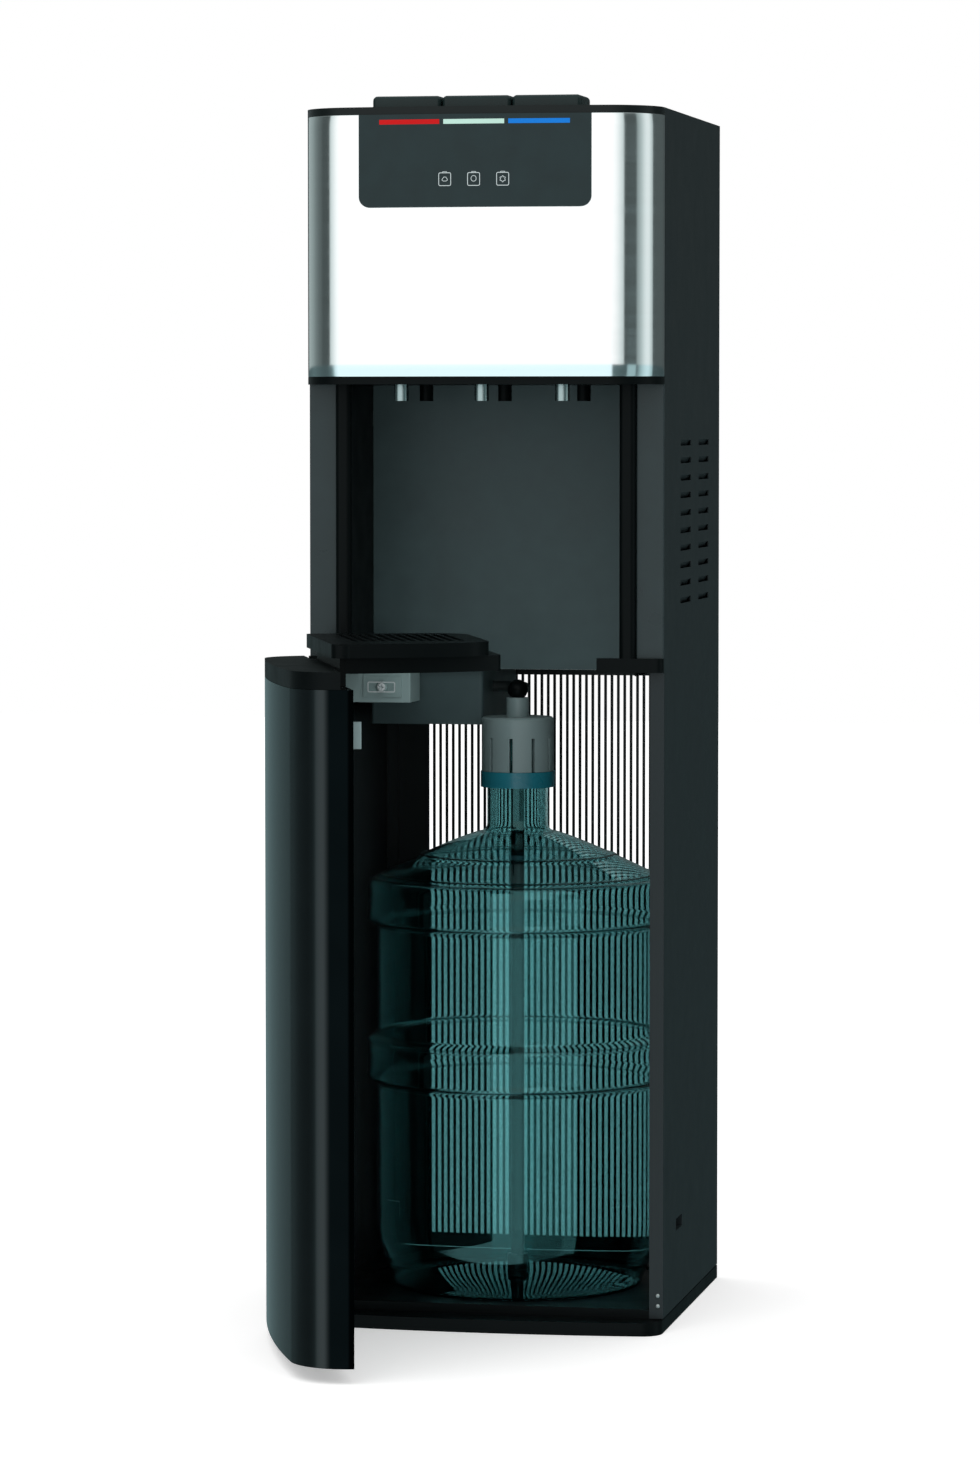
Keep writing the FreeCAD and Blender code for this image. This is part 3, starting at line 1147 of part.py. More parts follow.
# ---------------------------------------------------------------------------------------------
# Rear services and fasteners
# ---------------------------------------------------------------------------------------------
def services():
    face = f"({REAR} + sheet_steel)"
    frames = []
    for n, label in ((0, "switch_cold"), (1, "switch_hot")):
        x = f"(rocker_x + rocker_pitch * {n} - rocker_pitch)"
        rim = block(label + "_rim", (f"{x} - rocker_width / 2 - 2", f"{x} + rocker_width / 2 + 2"),
                    (face, f"{face} + 2"),
                    ("rocker_level - rocker_height / 2 - 2", "rocker_level + rocker_height / 2 + 2"))
        sleeve = block(label + "_sleeve", (f"{x} - rocker_width / 2", f"{x} + rocker_width / 2"),
                       (f"{face} - 16", f"{face} + 1"),
                       ("rocker_level - rocker_height / 2", "rocker_level + rocker_height / 2"))
        room = block(label + "_room", (f"{x} - rocker_width / 2 + 1.5", f"{x} + rocker_width / 2 - 1.5"),
                     (f"{face} - 12", f"{face} + 3"),
                     ("rocker_level - rocker_height / 2 + 1.5", "rocker_level + rocker_height / 2 - 1.5"))
        bore = rod(label + "_bore", "1.25", (f"{x} - rocker_width / 2 - 1", f"{x} + rocker_width / 2 + 1"),
                   f"{face} - 1", "rocker_level", "x")
        frames.append(cut(label + "_frame", fuse(label + "_rim_sleeve", rim, sleeve), room, bore))
        half_z = "(rocker_height / 2 - 1.5 - 1.2)"
        paddle = block(label + "_paddle",
                       (f"{x} - rocker_width / 2 + 1.8", f"{x} + rocker_width / 2 - 1.8"),
                       (f"{face} - 3", f"{face} + 3.5"),
                       (f"rocker_level - {half_z}", f"rocker_level + {half_z}"))
        paddle = rounded(label + "_paddle_round", paddle, 1.5,
                         lambda edge: abs(edge.tangentAt(edge.FirstParameter).x) > 0.999)
        axle = rod(label + "_axle", "1.2",
                   (f"{x} - rocker_width / 2 + 0.5", f"{x} + rocker_width / 2 - 0.5"), f"{face} - 1",
                   "rocker_level", "x")
        node(label, fuse(label + "_whole", paddle, axle))
    node("switch_frames", group("switch_frames_group", *frames))
    flange = rod("inlet_flange", "inlet_radius + 3", "rocker_x", (face, f"{face} + 3"), "inlet_level", "y")
    barrel = rod("inlet_barrel", "inlet_radius", "rocker_x", (f"{face} - 10", f"{face} + 8"), "inlet_level",
                 "y")
    way = rod("inlet_way", "3.5", "rocker_x", (f"{face} - 11", f"{face} + 9"), "inlet_level", "y")
    node("cord_inlet", cut("cord_inlet_cut", fuse("cord_inlet_whole", flange, barrel), way))
    head = rod("drain_head", "drain_radius + 4", "-rocker_x", (face, f"{face} + 6"), "drain_level", "y")
    shank = rod("drain_shank", "drain_radius", "-rocker_x", (f"{face} - 14", f"{face} + 1"), "drain_level",
                "y")
    node("drain_plug", fuse("drain_plug_whole", head, shank))

    screws = []
    for z in ("panel_bottom + 11", "panel_bottom + 20"):
        screws.append(rod(f"front_screw_{len(screws)}", "screw_radius / 2", f"{HALF} - 4.5",
                          (f"{FRONT} - 1", FRONT), z, "y"))
    for sign in ("", "-"):
        for z in ("grille_top - 12", "grille_top + 14", "base_height + 14", f"{HEAD_TOP} - 12"):
            screws.append(rod(f"rear_screw_{len(screws)}", "screw_radius",
                              f"{sign}({HALF} - flange_width / 2 - 1)", (face, f"{face} + 1.6"), z, "y"))
    node("case_screws", group("case_screws_group", *screws))


# ---------------------------------------------------------------------------------------------
# Assembly
# ---------------------------------------------------------------------------------------------
base_tray()
side_panels()
rear_panels()
shelves()
head()
push_pads()
taps()
alcove()
door()
bottle()
pumping()
machinery()
services()
doc.removeObject(probe.Name)
doc.recompute()

pin = Vector(-half + size("pin_inset"), front - size("pin_ahead"), 0)
swing = FreeCAD.Placement(Vector(0, 0, 0), FreeCAD.Rotation(Vector(0, 0, 1), -size("door_open")), pin)
for label in DOOR_NODES:
    nodes[label].Placement = swing.multiply(nodes[label].Placement)
doc.recompute()

for made in doc.Objects:
    if "Invalid" in made.State or "Error" in made.State:
        raise RuntimeError(f"{made.Name} failed: {made.State}")

os.makedirs("parts", exist_ok=True)
for label, made in nodes.items():
    shape = made.Shape
    if shape.isNull() or not shape.isValid() or not shape.Solids:
        raise RuntimeError(f"{label} has no valid solid")
    box = shape.BoundBox
    print(f"{label:20s} solids {len(shape.Solids):2d}  volume {shape.Volume / 1000:9.2f} cm3  "
          f"x {box.XMin:7.1f} {box.XMax:7.1f}  y {box.YMin:7.1f} {box.YMax:7.1f}  z {box.ZMin:7.1f} {box.ZMax:7.1f}")
    shape.exportStep(f"parts/{label}.step")
print(len(nodes), "nodes")
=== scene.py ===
import math
import bpy
import numpy as np
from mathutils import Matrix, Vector


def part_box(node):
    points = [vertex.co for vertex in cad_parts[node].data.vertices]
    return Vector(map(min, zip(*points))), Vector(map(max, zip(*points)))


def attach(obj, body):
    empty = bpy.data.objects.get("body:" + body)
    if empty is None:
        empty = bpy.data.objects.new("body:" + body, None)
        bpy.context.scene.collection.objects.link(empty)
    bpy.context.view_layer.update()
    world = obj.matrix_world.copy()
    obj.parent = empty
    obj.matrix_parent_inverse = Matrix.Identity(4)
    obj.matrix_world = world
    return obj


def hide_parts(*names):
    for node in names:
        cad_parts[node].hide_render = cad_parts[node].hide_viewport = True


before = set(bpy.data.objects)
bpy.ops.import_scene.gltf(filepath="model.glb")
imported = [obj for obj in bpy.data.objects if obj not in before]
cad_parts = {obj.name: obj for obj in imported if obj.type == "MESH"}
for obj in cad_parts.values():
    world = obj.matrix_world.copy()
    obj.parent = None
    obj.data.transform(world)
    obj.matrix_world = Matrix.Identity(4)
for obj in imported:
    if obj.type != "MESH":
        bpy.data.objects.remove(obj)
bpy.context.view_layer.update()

bl_info = {
    "name": "Bottom Load Water Cooler Looks",
    "version": (1, 0, 0),
    "blender": (4, 5, 0),
    "location": "View3D > Sidebar > Cooler",
    "description": "Dresses a packed bottom load water cooler: finishes, added pieces and studio",
    "category": "Object",
}

MM = 0.001


# ------------------------------------------------------------------------------------------
# What the frame says: lowest and highest corners of nodes at rest, in metres
# ------------------------------------------------------------------------------------------
def low(node):
    return np.array(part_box(node)[0])


def high(node):
    return np.array(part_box(node)[1])


HALF_WIDTH = float(high("side_panel_right")[0])
FRONT_PLANE = float(low("side_panel_right")[1])
HEAD_FRONT = float(low("head_panel")[1])
BOTTLE_AXIS = tuple((low("water_bottle") + high("water_bottle"))[:2] / 2)
DOOR_ANGLE = math.radians(71.5)
# Where the door's painted shade begins: distance along the door's width at its rest angle, in metres
DOOR_SHADE_LINE = 0.4029


# ------------------------------------------------------------------------------------------
# Settings that a user would change
# ------------------------------------------------------------------------------------------
def length(name, description, default):
    return bpy.props.FloatProperty(name=name, description=description, default=default,
                                   unit="LENGTH", precision=5)


def rotation(name, description, default):
    return bpy.props.FloatProperty(name=name, description=description, default=default, unit="ROTATION")


def colour(name, description, default):
    return bpy.props.FloatVectorProperty(name=name, description=description, default=default,
                                         subtype="COLOR", size=3, min=0.0, max=1.0)


def number(name, description, default, top=10.0):
    return bpy.props.FloatProperty(name=name, description=description, default=default, min=0.0, max=top)


class CoolerColours(bpy.types.PropertyGroup):
    steel: colour("Steel", "Brushed stainless of the head", (0.93, 0.95, 0.95))
    panel: colour("Painted sheet", "Dark grey paint of the side and rear panels", (0.010, 0.016, 0.018))
    column: colour("Column", "Satin grey plastic of the columns", (0.020, 0.032, 0.034))
    liner: colour("Liner", "Grey plastic of the alcove's back and the door's inside", (0.053, 0.088, 0.093))
    top: colour("Top cover", "Dark plastic of the top cover", (0.005, 0.008, 0.008))
    pad: colour("Pads", "Dark plastic of the push pads", (0.010, 0.020, 0.020))
    case: colour("Service box", "Pale grey plastic of the service box", (0.28, 0.40, 0.40))
    black: colour("Black plastic", "Matte black mouldings", (0.0020, 0.0034, 0.0036))
    door: colour("Door", "High gloss black of the door", (0.003, 0.0045, 0.005))
    facing: colour("Control panel", "Smoked grey of the control panel", (0.013, 0.026, 0.028))
    bottle: colour("Bottle", "Tint of the clear bottle", (0.23, 0.44, 0.45))
    collar: colour("Collar", "Teal ring under the probe cap", (0.016, 0.19, 0.25))
    cap: colour("Probe cap", "Pale plastic of the probe cap", (0.20, 0.28, 0.285))
    hot: colour("Hot", "Red light strip", (0.53, 0.006, 0.007))
    room: colour("Room", "Pale light strip", (0.50, 0.74, 0.65))
    cold: colour("Cold", "Blue light strip", (0.006, 0.18, 0.64))


class CoolerSizes(bpy.types.PropertyGroup):
    corner: length("Corner radius", "Round between the bowed front and the straight side", 47.5 * MM)
    bow: length("Bow radius", "Radius of the bowed front across the width", 1194 * MM)
    steel_edge: length("Steel edge", "Round at the top and bottom of the steel wrap", 0.6 * MM)
    bottle_wall: length("Bottle wall", "Thickness of the bottle", 2.0 * MM)
    bead: length("Bottle bead", "Half height of the rolled ring at each band's edge", 1.6 * MM)
    icon: length("Icon", "Width of each icon on the control panel", 10.4 * MM)
    icon_line: length("Icon line", "Width of an icon's line", 0.55 * MM)
    icon_pitch: length("Icon pitch", "Distance between icons", 25.0 * MM)
    icon_level: length("Icon level", "Height of the icons' middle above the floor", 989.3 * MM)


class CoolerStudio(bpy.types.PropertyGroup):
    place: bpy.props.FloatVectorProperty(name="Camera", description="Where the camera stands", size=3,
                                         unit="LENGTH", default=(0.896611, -4.726111, 0.791592))
    yaw: rotation("Yaw", "Camera turned to its left", 0.193)
    pitch: rotation("Pitch", "Camera tipped down", 0.059)
    lens: number("Lens", "Focal length in millimetres on 36 mm", 133.03, 500.0)
    ambient: number("Ambient", "Strength of the soft light from all round", 0.85)
    key: number("Key", "Power of the large soft lamp in watts", 28.0, 500.0)


def settings():
    scene = bpy.context.scene
    return scene.cooler_colours, scene.cooler_sizes, scene.cooler_studio


# ------------------------------------------------------------------------------------------
# Shared shader groups: each puts out only heights, masks and values
# ------------------------------------------------------------------------------------------
def shader_group(name, inputs, outputs):
    group = bpy.data.node_groups.new(name, "ShaderNodeTree")
    for label, kind, default in inputs:
        socket = group.interface.new_socket(label, in_out="INPUT", socket_type=kind)
        if default is not None:
            socket.default_value = default
    for label in outputs:
        group.interface.new_socket(label, in_out="OUTPUT", socket_type="NodeSocketFloat")
    return group, group.nodes.new("NodeGroupInput"), group.nodes.new("NodeGroupOutput")


def math_node(tree, operation, a, b, clamp=False):
    made = tree.nodes.new("ShaderNodeMath")
    made.operation = operation
    made.use_clamp = clamp
    for socket, value in zip(made.inputs, (a, b)):
        if isinstance(value, (int, float)):
            socket.default_value = value
        else:
            tree.links.new(value, socket)
    return made.outputs[0]


def brushed_grain():
    """Fine parallel scratches: noise squeezed across one direction, with slow streaks over it."""
    group, given, out = shader_group(
        "Brushed grain",
        [("Vector", "NodeSocketVector", None), ("Squeeze", "NodeSocketVector", None),
         ("Scale", "NodeSocketFloat", 900.0)],
        ["Height", "Streak"])
    squeeze = group.nodes.new("ShaderNodeVectorMath")
    squeeze.operation = "MULTIPLY"
    group.links.new(given.outputs["Vector"], squeeze.inputs[0])
    group.links.new(given.outputs["Squeeze"], squeeze.inputs[1])
    fine = group.nodes.new("ShaderNodeTexNoise")
    fine.inputs["Detail"].default_value = 3.0
    group.links.new(squeeze.outputs[0], fine.inputs["Vector"])
    group.links.new(given.outputs["Scale"], fine.inputs["Scale"])
    slow = group.nodes.new("ShaderNodeTexNoise")
    slow.inputs["Detail"].default_value = 2.0
    group.links.new(squeeze.outputs[0], slow.inputs["Vector"])
    group.links.new(math_node(group, "MULTIPLY", given.outputs["Scale"], 0.12), slow.inputs["Scale"])
    group.links.new(fine.outputs["Fac"], out.inputs["Height"])
    group.links.new(slow.outputs["Fac"], out.inputs["Streak"])
    return group


def moulded_grain():
    """The fine spark-eroded grain of moulded plastic or powder paint, and a slow mottling for colour."""
    group, given, out = shader_group(
        "Moulded grain", [("Vector", "NodeSocketVector", None), ("Scale", "NodeSocketFloat", 1400.0)],
        ["Height", "Mottle"])
    cells = group.nodes.new("ShaderNodeTexVoronoi")
    cells.feature = "SMOOTH_F1"
    cells.inputs["Smoothness"].default_value = 0.6
    group.links.new(given.outputs["Vector"], cells.inputs["Vector"])
    group.links.new(given.outputs["Scale"], cells.inputs["Scale"])
    noise = group.nodes.new("ShaderNodeTexNoise")
    noise.inputs["Detail"].default_value = 4.0
    group.links.new(given.outputs["Vector"], noise.inputs["Vector"])
    group.links.new(math_node(group, "MULTIPLY", given.outputs["Scale"], 0.02), noise.inputs["Scale"])
    fine = group.nodes.new("ShaderNodeTexNoise")
    group.links.new(given.outputs["Vector"], fine.inputs["Vector"])
    group.links.new(math_node(group, "MULTIPLY", given.outputs["Scale"], 1.7), fine.inputs["Scale"])
    finer = math_node(group, "MULTIPLY", fine.outputs["Fac"], 0.5)
    group.links.new(math_node(group, "ADD", cells.outputs["Distance"], finer), out.inputs["Height"])
    group.links.new(noise.outputs["Fac"], out.inputs["Mottle"])
    return group


def dust():
    """Dust that lies on faces that look up, thicker in slow patches: the normal's height times noise."""
    group, given, out = shader_group(
        "Dust", [("Vector", "NodeSocketVector", None), ("Amount", "NodeSocketFloat", 0.2)], ["Mask"])
    shape = group.nodes.new("ShaderNodeNewGeometry")
    parts = group.nodes.new("ShaderNodeSeparateXYZ")
    group.links.new(shape.outputs["Normal"], parts.inputs[0])
    up = math_node(group, "SUBTRACT", parts.outputs["Z"], 0.6, clamp=True)
    noise = group.nodes.new("ShaderNodeTexNoise")
    noise.inputs["Scale"].default_value = 35.0
    noise.inputs["Detail"].default_value = 5.0
    group.links.new(given.outputs["Vector"], noise.inputs["Vector"])
    patch = math_node(group, "MULTIPLY", up, noise.outputs["Fac"])
    settled = math_node(group, "MULTIPLY", patch, given.outputs["Amount"], clamp=True)
    group.links.new(settled, out.inputs["Mask"])
    return group


def wipe_marks():
    """The faint arcs and cloudy film that wiping leaves on gloss: warped noise, pushed towards its ends."""
    group, given, out = shader_group(
        "Wipe marks", [("Vector", "NodeSocketVector", None), ("Scale", "NodeSocketFloat", 9.0)], ["Film"])
    noise = group.nodes.new("ShaderNodeTexNoise")
    noise.inputs["Detail"].default_value = 6.0
    noise.inputs["Distortion"].default_value = 1.6
    group.links.new(given.outputs["Vector"], noise.inputs["Vector"])
    group.links.new(given.outputs["Scale"], noise.inputs["Scale"])
    above = math_node(group, "SUBTRACT", noise.outputs["Fac"], 0.42)
    group.links.new(math_node(group, "MULTIPLY", above, 2.2, clamp=True), out.inputs["Film"])
    return group


GROUPS = {}


def shared(maker):
    """Each shader group is built once."""
    if maker.__name__ not in GROUPS:
        GROUPS[maker.__name__] = maker()
    return GROUPS[maker.__name__]


# ------------------------------------------------------------------------------------------
# Finishes
# ------------------------------------------------------------------------------------------
def principled(name, base, roughness, metallic=0.0, **sockets):
    """A material with its Principled shader; names like coat_weight fill the socket 'Coat Weight'."""
    made = bpy.data.materials.new(name)
    made.use_nodes = True
    shader = made.node_tree.nodes["Principled BSDF"]
    shader.inputs["Base Color"].default_value = (*base, 1.0)
    shader.inputs["Roughness"].default_value = roughness
    shader.inputs["Metallic"].default_value = metallic
    for key, value in sockets.items():
        label = {"ior": "IOR", "specular": "Specular IOR Level"}.get(key, key.replace("_", " ").title())
        shader.inputs[label].default_value = value
    return made, made.node_tree, shader


def effect(tree, maker, **values):
    """Places a shared group on Object coordinates, with this material's own values."""
    made = tree.nodes.new("ShaderNodeGroup")
    made.node_tree = shared(maker)
    place = tree.nodes.new("ShaderNodeTexCoord")
    tree.links.new(place.outputs["Object"], made.inputs["Vector"])
    for key, value in values.items():
        made.inputs[key.title()].default_value = value
    return made


def between(tree, factor, first, second):
    """A colour that goes from the first to the second, each a colour or a socket, with a varying factor."""
    made = tree.nodes.new("ShaderNodeMix")
    made.data_type = "RGBA"
    tree.links.new(factor, made.inputs["Factor"])
    for name, given in (("A", first), ("B", second)):
        if isinstance(given, (tuple, list)):
            made.inputs[name].default_value = (*given, 1.0)
        else:
            tree.links.new(given, made.inputs[name])
    return made.outputs["Result"]


def ranged(tree, value, bottom, top):
    made = tree.nodes.new("ShaderNodeMapRange")
    tree.links.new(value, made.inputs["Value"])
    made.inputs["From Min"].default_value = 0.3
    made.inputs["From Max"].default_value = 0.7
    made.inputs["To Min"].default_value = bottom
    made.inputs["To Max"].default_value = top
    return made.outputs["Result"]


def smooth_step(tree, value, start, end):
    """0 below start, 1 above end and a smooth rise between them."""
    made = tree.nodes.new("ShaderNodeMapRange")
    made.interpolation_type = "SMOOTHSTEP"
    made.inputs["From Min"].default_value = start
    made.inputs["From Max"].default_value = end
    tree.links.new(value, made.inputs["Value"])
    return made.outputs["Result"]


def seen_directly(tree, path):
    """1 for a ray that comes from the camera, straight or through clear plastic."""
    camera, through = path.outputs["Is Camera Ray"], path.outputs["Is Transmission Ray"]
    return math_node(tree, "ADD", camera, through, clamp=True)


def bumped(tree, shader, height, distance):
    made = tree.nodes.new("ShaderNodeBump")
    made.inputs["Distance"].default_value = distance
    made.inputs["Strength"].default_value = 1.0
    tree.links.new(height, made.inputs["Height"])
    tree.links.new(made.outputs["Normal"], shader.inputs["Normal"])


def shade_of(base, factor):
    return tuple(min(1.0, c * factor) for c in base)


def varied(tree, factor, base, spread):
    """The base colour, darker by spread where the factor is 0 and lighter by spread where it is 1."""
    return between(tree, factor, shade_of(base, 1 - spread), shade_of(base, 1 + spread))


DUST = (0.16, 0.17, 0.165)


def moulded(name, base, roughness, grain=1400.0, depth=0.00002, spread=0.25, dusty=0.15, **sockets):
    """Moulded plastic: grain in the normal, slow mottling in colour and roughness, a little dust on top."""
    made, tree, shader = principled(name, base, roughness, **sockets)
    skin = effect(tree, moulded_grain, scale=grain)
    toned = varied(tree, skin.outputs["Mottle"], base, spread)
    if dusty:
        film = effect(tree, dust, amount=dusty)
        mixed = tree.nodes.new("ShaderNodeMix")
        mixed.data_type = "RGBA"
        tree.links.new(film.outputs["Mask"], mixed.inputs["Factor"])
        tree.links.new(toned, mixed.inputs["A"])
        mixed.inputs["B"].default_value = (*DUST, 1.0)
        toned = mixed.outputs["Result"]
    tree.links.new(toned, shader.inputs["Base Color"])
    rough = ranged(tree, skin.outputs["Mottle"], roughness - 0.04, roughness + 0.05)
    tree.links.new(rough, shader.inputs["Roughness"])
    bumped(tree, shader, skin.outputs["Height"], depth)
    return made


def polished(name, base, roughness):
    """Gloss moulding or enamel: nearly smooth, with wipe marks in the roughness and a faint tone change."""
    made, tree, shader = principled(name, base, roughness)
    film = effect(tree, wipe_marks)
    toned = between(tree, film.outputs["Film"], base, shade_of(base, 1.35))
    tree.links.new(toned, shader.inputs["Base Color"])
    spread = tree.nodes.new("ShaderNodeMapRange")
    tree.links.new(film.outputs["Film"], spread.inputs["Value"])
    spread.inputs["To Min"].default_value = roughness
    spread.inputs["To Max"].default_value = roughness + 0.03
    tree.links.new(spread.outputs["Result"], shader.inputs["Roughness"])
    return made


def metal(name, base, roughness, squeeze, scale=900.0, depth=0.000006, spread=0.05):
    """Brushed or plated metal: scratches along one direction in the normal, roughness and colour."""
    made, tree, shader = principled(name, base, roughness, metallic=1.0)
    grain = effect(tree, brushed_grain, squeeze=squeeze, scale=scale)
    tree.links.new(varied(tree, grain.outputs["Streak"], base, spread), shader.inputs["Base Color"])
    rough = ranged(tree, grain.outputs["Streak"], roughness * 0.85, roughness * 1.2)
    tree.links.new(rough, shader.inputs["Roughness"])
    bumped(tree, shader, grain.outputs["Height"], depth)
    return made


def lens(name, base, glow):
    """Tinted translucent strip with faint moulding waves and a little light behind it."""
    made, tree, shader = principled(name, base, 0.25, specular=0.12, emission_strength=glow)
    skin = effect(tree, moulded_grain, scale=600.0)
    tree.links.new(varied(tree, skin.outputs["Mottle"], base, 0.15), shader.inputs["Base Color"])
    tree.links.new(varied(tree, skin.outputs["Mottle"], base, 0.1), shader.inputs["Emission Color"])
    bumped(tree, shader, skin.outputs["Height"], 0.00002)
    return made


def clear_plastic(name, base):
    """Tinted clear plastic: smooth, with slow waves of tone from blow moulding and tinted highlights."""
    made, tree, shader = principled(name, base, 0.0, ior=1.6, transmission_weight=1.0)
    shader.inputs["Specular Tint"].default_value = (0.45, 1.0, 1.0, 1.0)
    wave = effect(tree, wipe_marks, scale=22.0)
    toned = between(tree, wave.outputs["Film"], base, shade_of(base, 0.93))
    tree.links.new(toned, shader.inputs["Base Color"])
    return made


def gloss_door_with_painted_shade(name, base, roughness):
    """The door's gloss, with painted shade past a line near its free edge: there the door turns metallic in
    its near-black colour and reflects almost nothing. The line's place is measured along the door's own
    width, at its rest angle."""
    made = polished(name, base, roughness)
    tree = made.node_tree
    shader = tree.nodes["Principled BSDF"]
    place = tree.nodes.new("ShaderNodeTexCoord")
    across = tree.nodes.new("ShaderNodeVectorMath")
    across.operation = "DOT_PRODUCT"
    across.inputs[1].default_value = (math.cos(DOOR_ANGLE), -math.sin(DOOR_ANGLE), 0.0)
    tree.links.new(place.outputs["Object"], across.inputs[0])
    # Painted shade: past this line the door turns metallic in its near-black colour and reflects almost
    # nothing
    boundary = tree.nodes.new("ShaderNodeMapRange")
    boundary.interpolation_type = "SMOOTHSTEP"
    boundary.inputs["From Min"].default_value = DOOR_SHADE_LINE
    boundary.inputs["From Max"].default_value = DOOR_SHADE_LINE + 3 * MM
    tree.links.new(across.outputs["Value"], boundary.inputs["Value"])
    tree.links.new(boundary.outputs["Result"], shader.inputs["Metallic"])
    return made


def make_finishes():
    """Every finish by name; squeeze is small along the scratches' direction."""
    tint = settings()[0]
    level = (0.02, 0.02, 1.0)
    upright = (1.0, 1.0, 0.02)
    return {
        "steel": metal("Brushed steel", tuple(tint.steel), 0.12, level, 1500.0, 0.000003, 0.03),
        "sheet": moulded("Dark sheet paint", tuple(tint.panel), 0.38, 900.0, 0.00003,
                         dusty=0.05, specular=0.3),
        "column": moulded("Satin column plastic", tuple(tint.column), 0.30, 1600.0, 0.00001, specular=0.3),
        "liner": moulded("Alcove liner plastic", tuple(tint.liner), 0.42, 1600.0, 0.000015,
                         dusty=0.05, specular=0.3),
        "black": moulded("Matte black plastic", tuple(tint.black), 0.36, 1500.0, 0.00002,
                         dusty=0.03, specular=0.07),
        "top": moulded("Top cover plastic", tuple(tint.top), 0.30, 1500.0, 0.00002, dusty=0.05, specular=0.2),
        "pad": moulded("Pad plastic", tuple(tint.pad), 0.28, 1700.0, 0.00001, dusty=0.03, specular=0.22),
        # The door carries painted shade past a line near its free edge
        "door": gloss_door_with_painted_shade("Gloss black door", tuple(tint.door), 0.06),
        "facing": moulded("Smoked control panel", tuple(tint.facing), 0.22, 2200.0, 0.000004,
                          dusty=0.0, specular=0.2),
        "hot": lens("Red strip", tuple(tint.hot), 0.06),
        "room": lens("Pale strip", tuple(tint.room), 0.04),
        "cold": lens("Blue strip", tuple(tint.cold), 0.06),
        "spout": metal("Satin spout steel", (0.38, 0.46, 0.46), 0.24, upright, 1200.0, 0.00001),
        "bottle": clear_plastic("Clear teal bottle", tuple(tint.bottle)),
        "cap": moulded("Pale cap plastic", tuple(tint.cap), 0.35, 1200.0, 0.00002, spread=0.12),
        "collar": moulded("Teal collar plastic", tuple(tint.collar), 0.3, 1200.0, 0.00001),
        "tube": moulded("Dark tube plastic", (0.016, 0.020, 0.022), 0.3, 1200.0, 0.00001),
        "grey": moulded("Grey case plastic", tuple(tint.case), 0.42, 1300.0, 0.00002,
                        spread=0.12, dusty=0.05),
        "hose": moulded("Grey hose", (0.045, 0.060, 0.060), 0.5, 700.0, 0.00002, dusty=0.05, specular=0.3),
        "zinc": metal("Zinc plate", (0.55, 0.57, 0.56), 0.32, (1.0, 1.0, 1.0), 420.0, 0.00001, 0.14),
        "tank": metal("Bead blasted tank", (0.56, 0.57, 0.57), 0.42, (1.0, 1.0, 1.0), 1400.0, 0.00002, 0.06),
        "foam": moulded("Moulded foam", (0.62, 0.60, 0.54), 0.85, 420.0, 0.0004, 0.1),
        "enamel": polished("Black enamel", (0.010, 0.011, 0.012), 0.16),
        "rubber": moulded("Rubber", (0.012, 0.012, 0.012), 0.7, 800.0, 0.00004),
        "board": moulded("Board mask", (0.010, 0.075, 0.035), 0.3, 1800.0, 0.00001),
        "rocker": polished("Red rocker", (0.45, 0.012, 0.010), 0.12),
        "white": moulded("White plastic", (0.62, 0.62, 0.58), 0.35, 1200.0, 0.00002, spread=0.06),
        "mark": moulded("Pale print", (0.60, 0.68, 0.69), 0.5, 1500.0, 0.000004, spread=0.08, dusty=0.0),
    }


NODE_FINISH = {
    "sheet": ("side_panel_left", "side_panel_right", "rear_grille", "rear_panel"),
    "zinc": ("machine_shelf", "tank_shelf", "hinge_pins"),
    "black": ("base_tray", "head_band", "tap_switches", "sill_left", "sill_right", "tap_valves", "door_cap",
              "drip_tray", "drip_grille", "probe_elbow", "water_pump", "switch_cold", "switch_frames",
              "cord_inlet", "alcove_wall_left", "alcove_wall_right"),
    "top": ("top_cover",),
    "pad": ("pad_hot", "pad_room", "pad_cold"),
    "facing": ("control_panel",),
    "hot": ("light_strip_hot",),
    "room": ("light_strip_room",),
    "cold": ("light_strip_cold",),
    "board": ("control_board",),
    "spout": ("tap_spouts",),
    "column": ("column_left", "column_right"),
    "liner": ("alcove_back", "door_inner_panel", "pump_housing"),
    "door": ("door_front_panel", "door_cheek_latch", "door_cheek_hinge"),
    "white": ("drain_plug",),
    "cap": ("probe_cap", "latch_tongue"),
    "collar": ("bottle_collar",),
    "tube": ("dip_tube",),
    "hose": ("water_hoses",),
    "grey": ("service_box", "service_box_cover"),
    "enamel": ("compressor", "condenser_coil"),
    "rubber": ("compressor_feet",),
    "tank": ("cold_tank", "hot_tank", "heater_band"),
    "foam": ("cold_tank_jacket",),
    "rocker": ("switch_hot",),
}
FINISHES = {}


def finish_of(name):
    if not FINISHES:
        FINISHES.update(make_finishes())
    return FINISHES[name]


SHARP_ANGLE = math.radians(28)


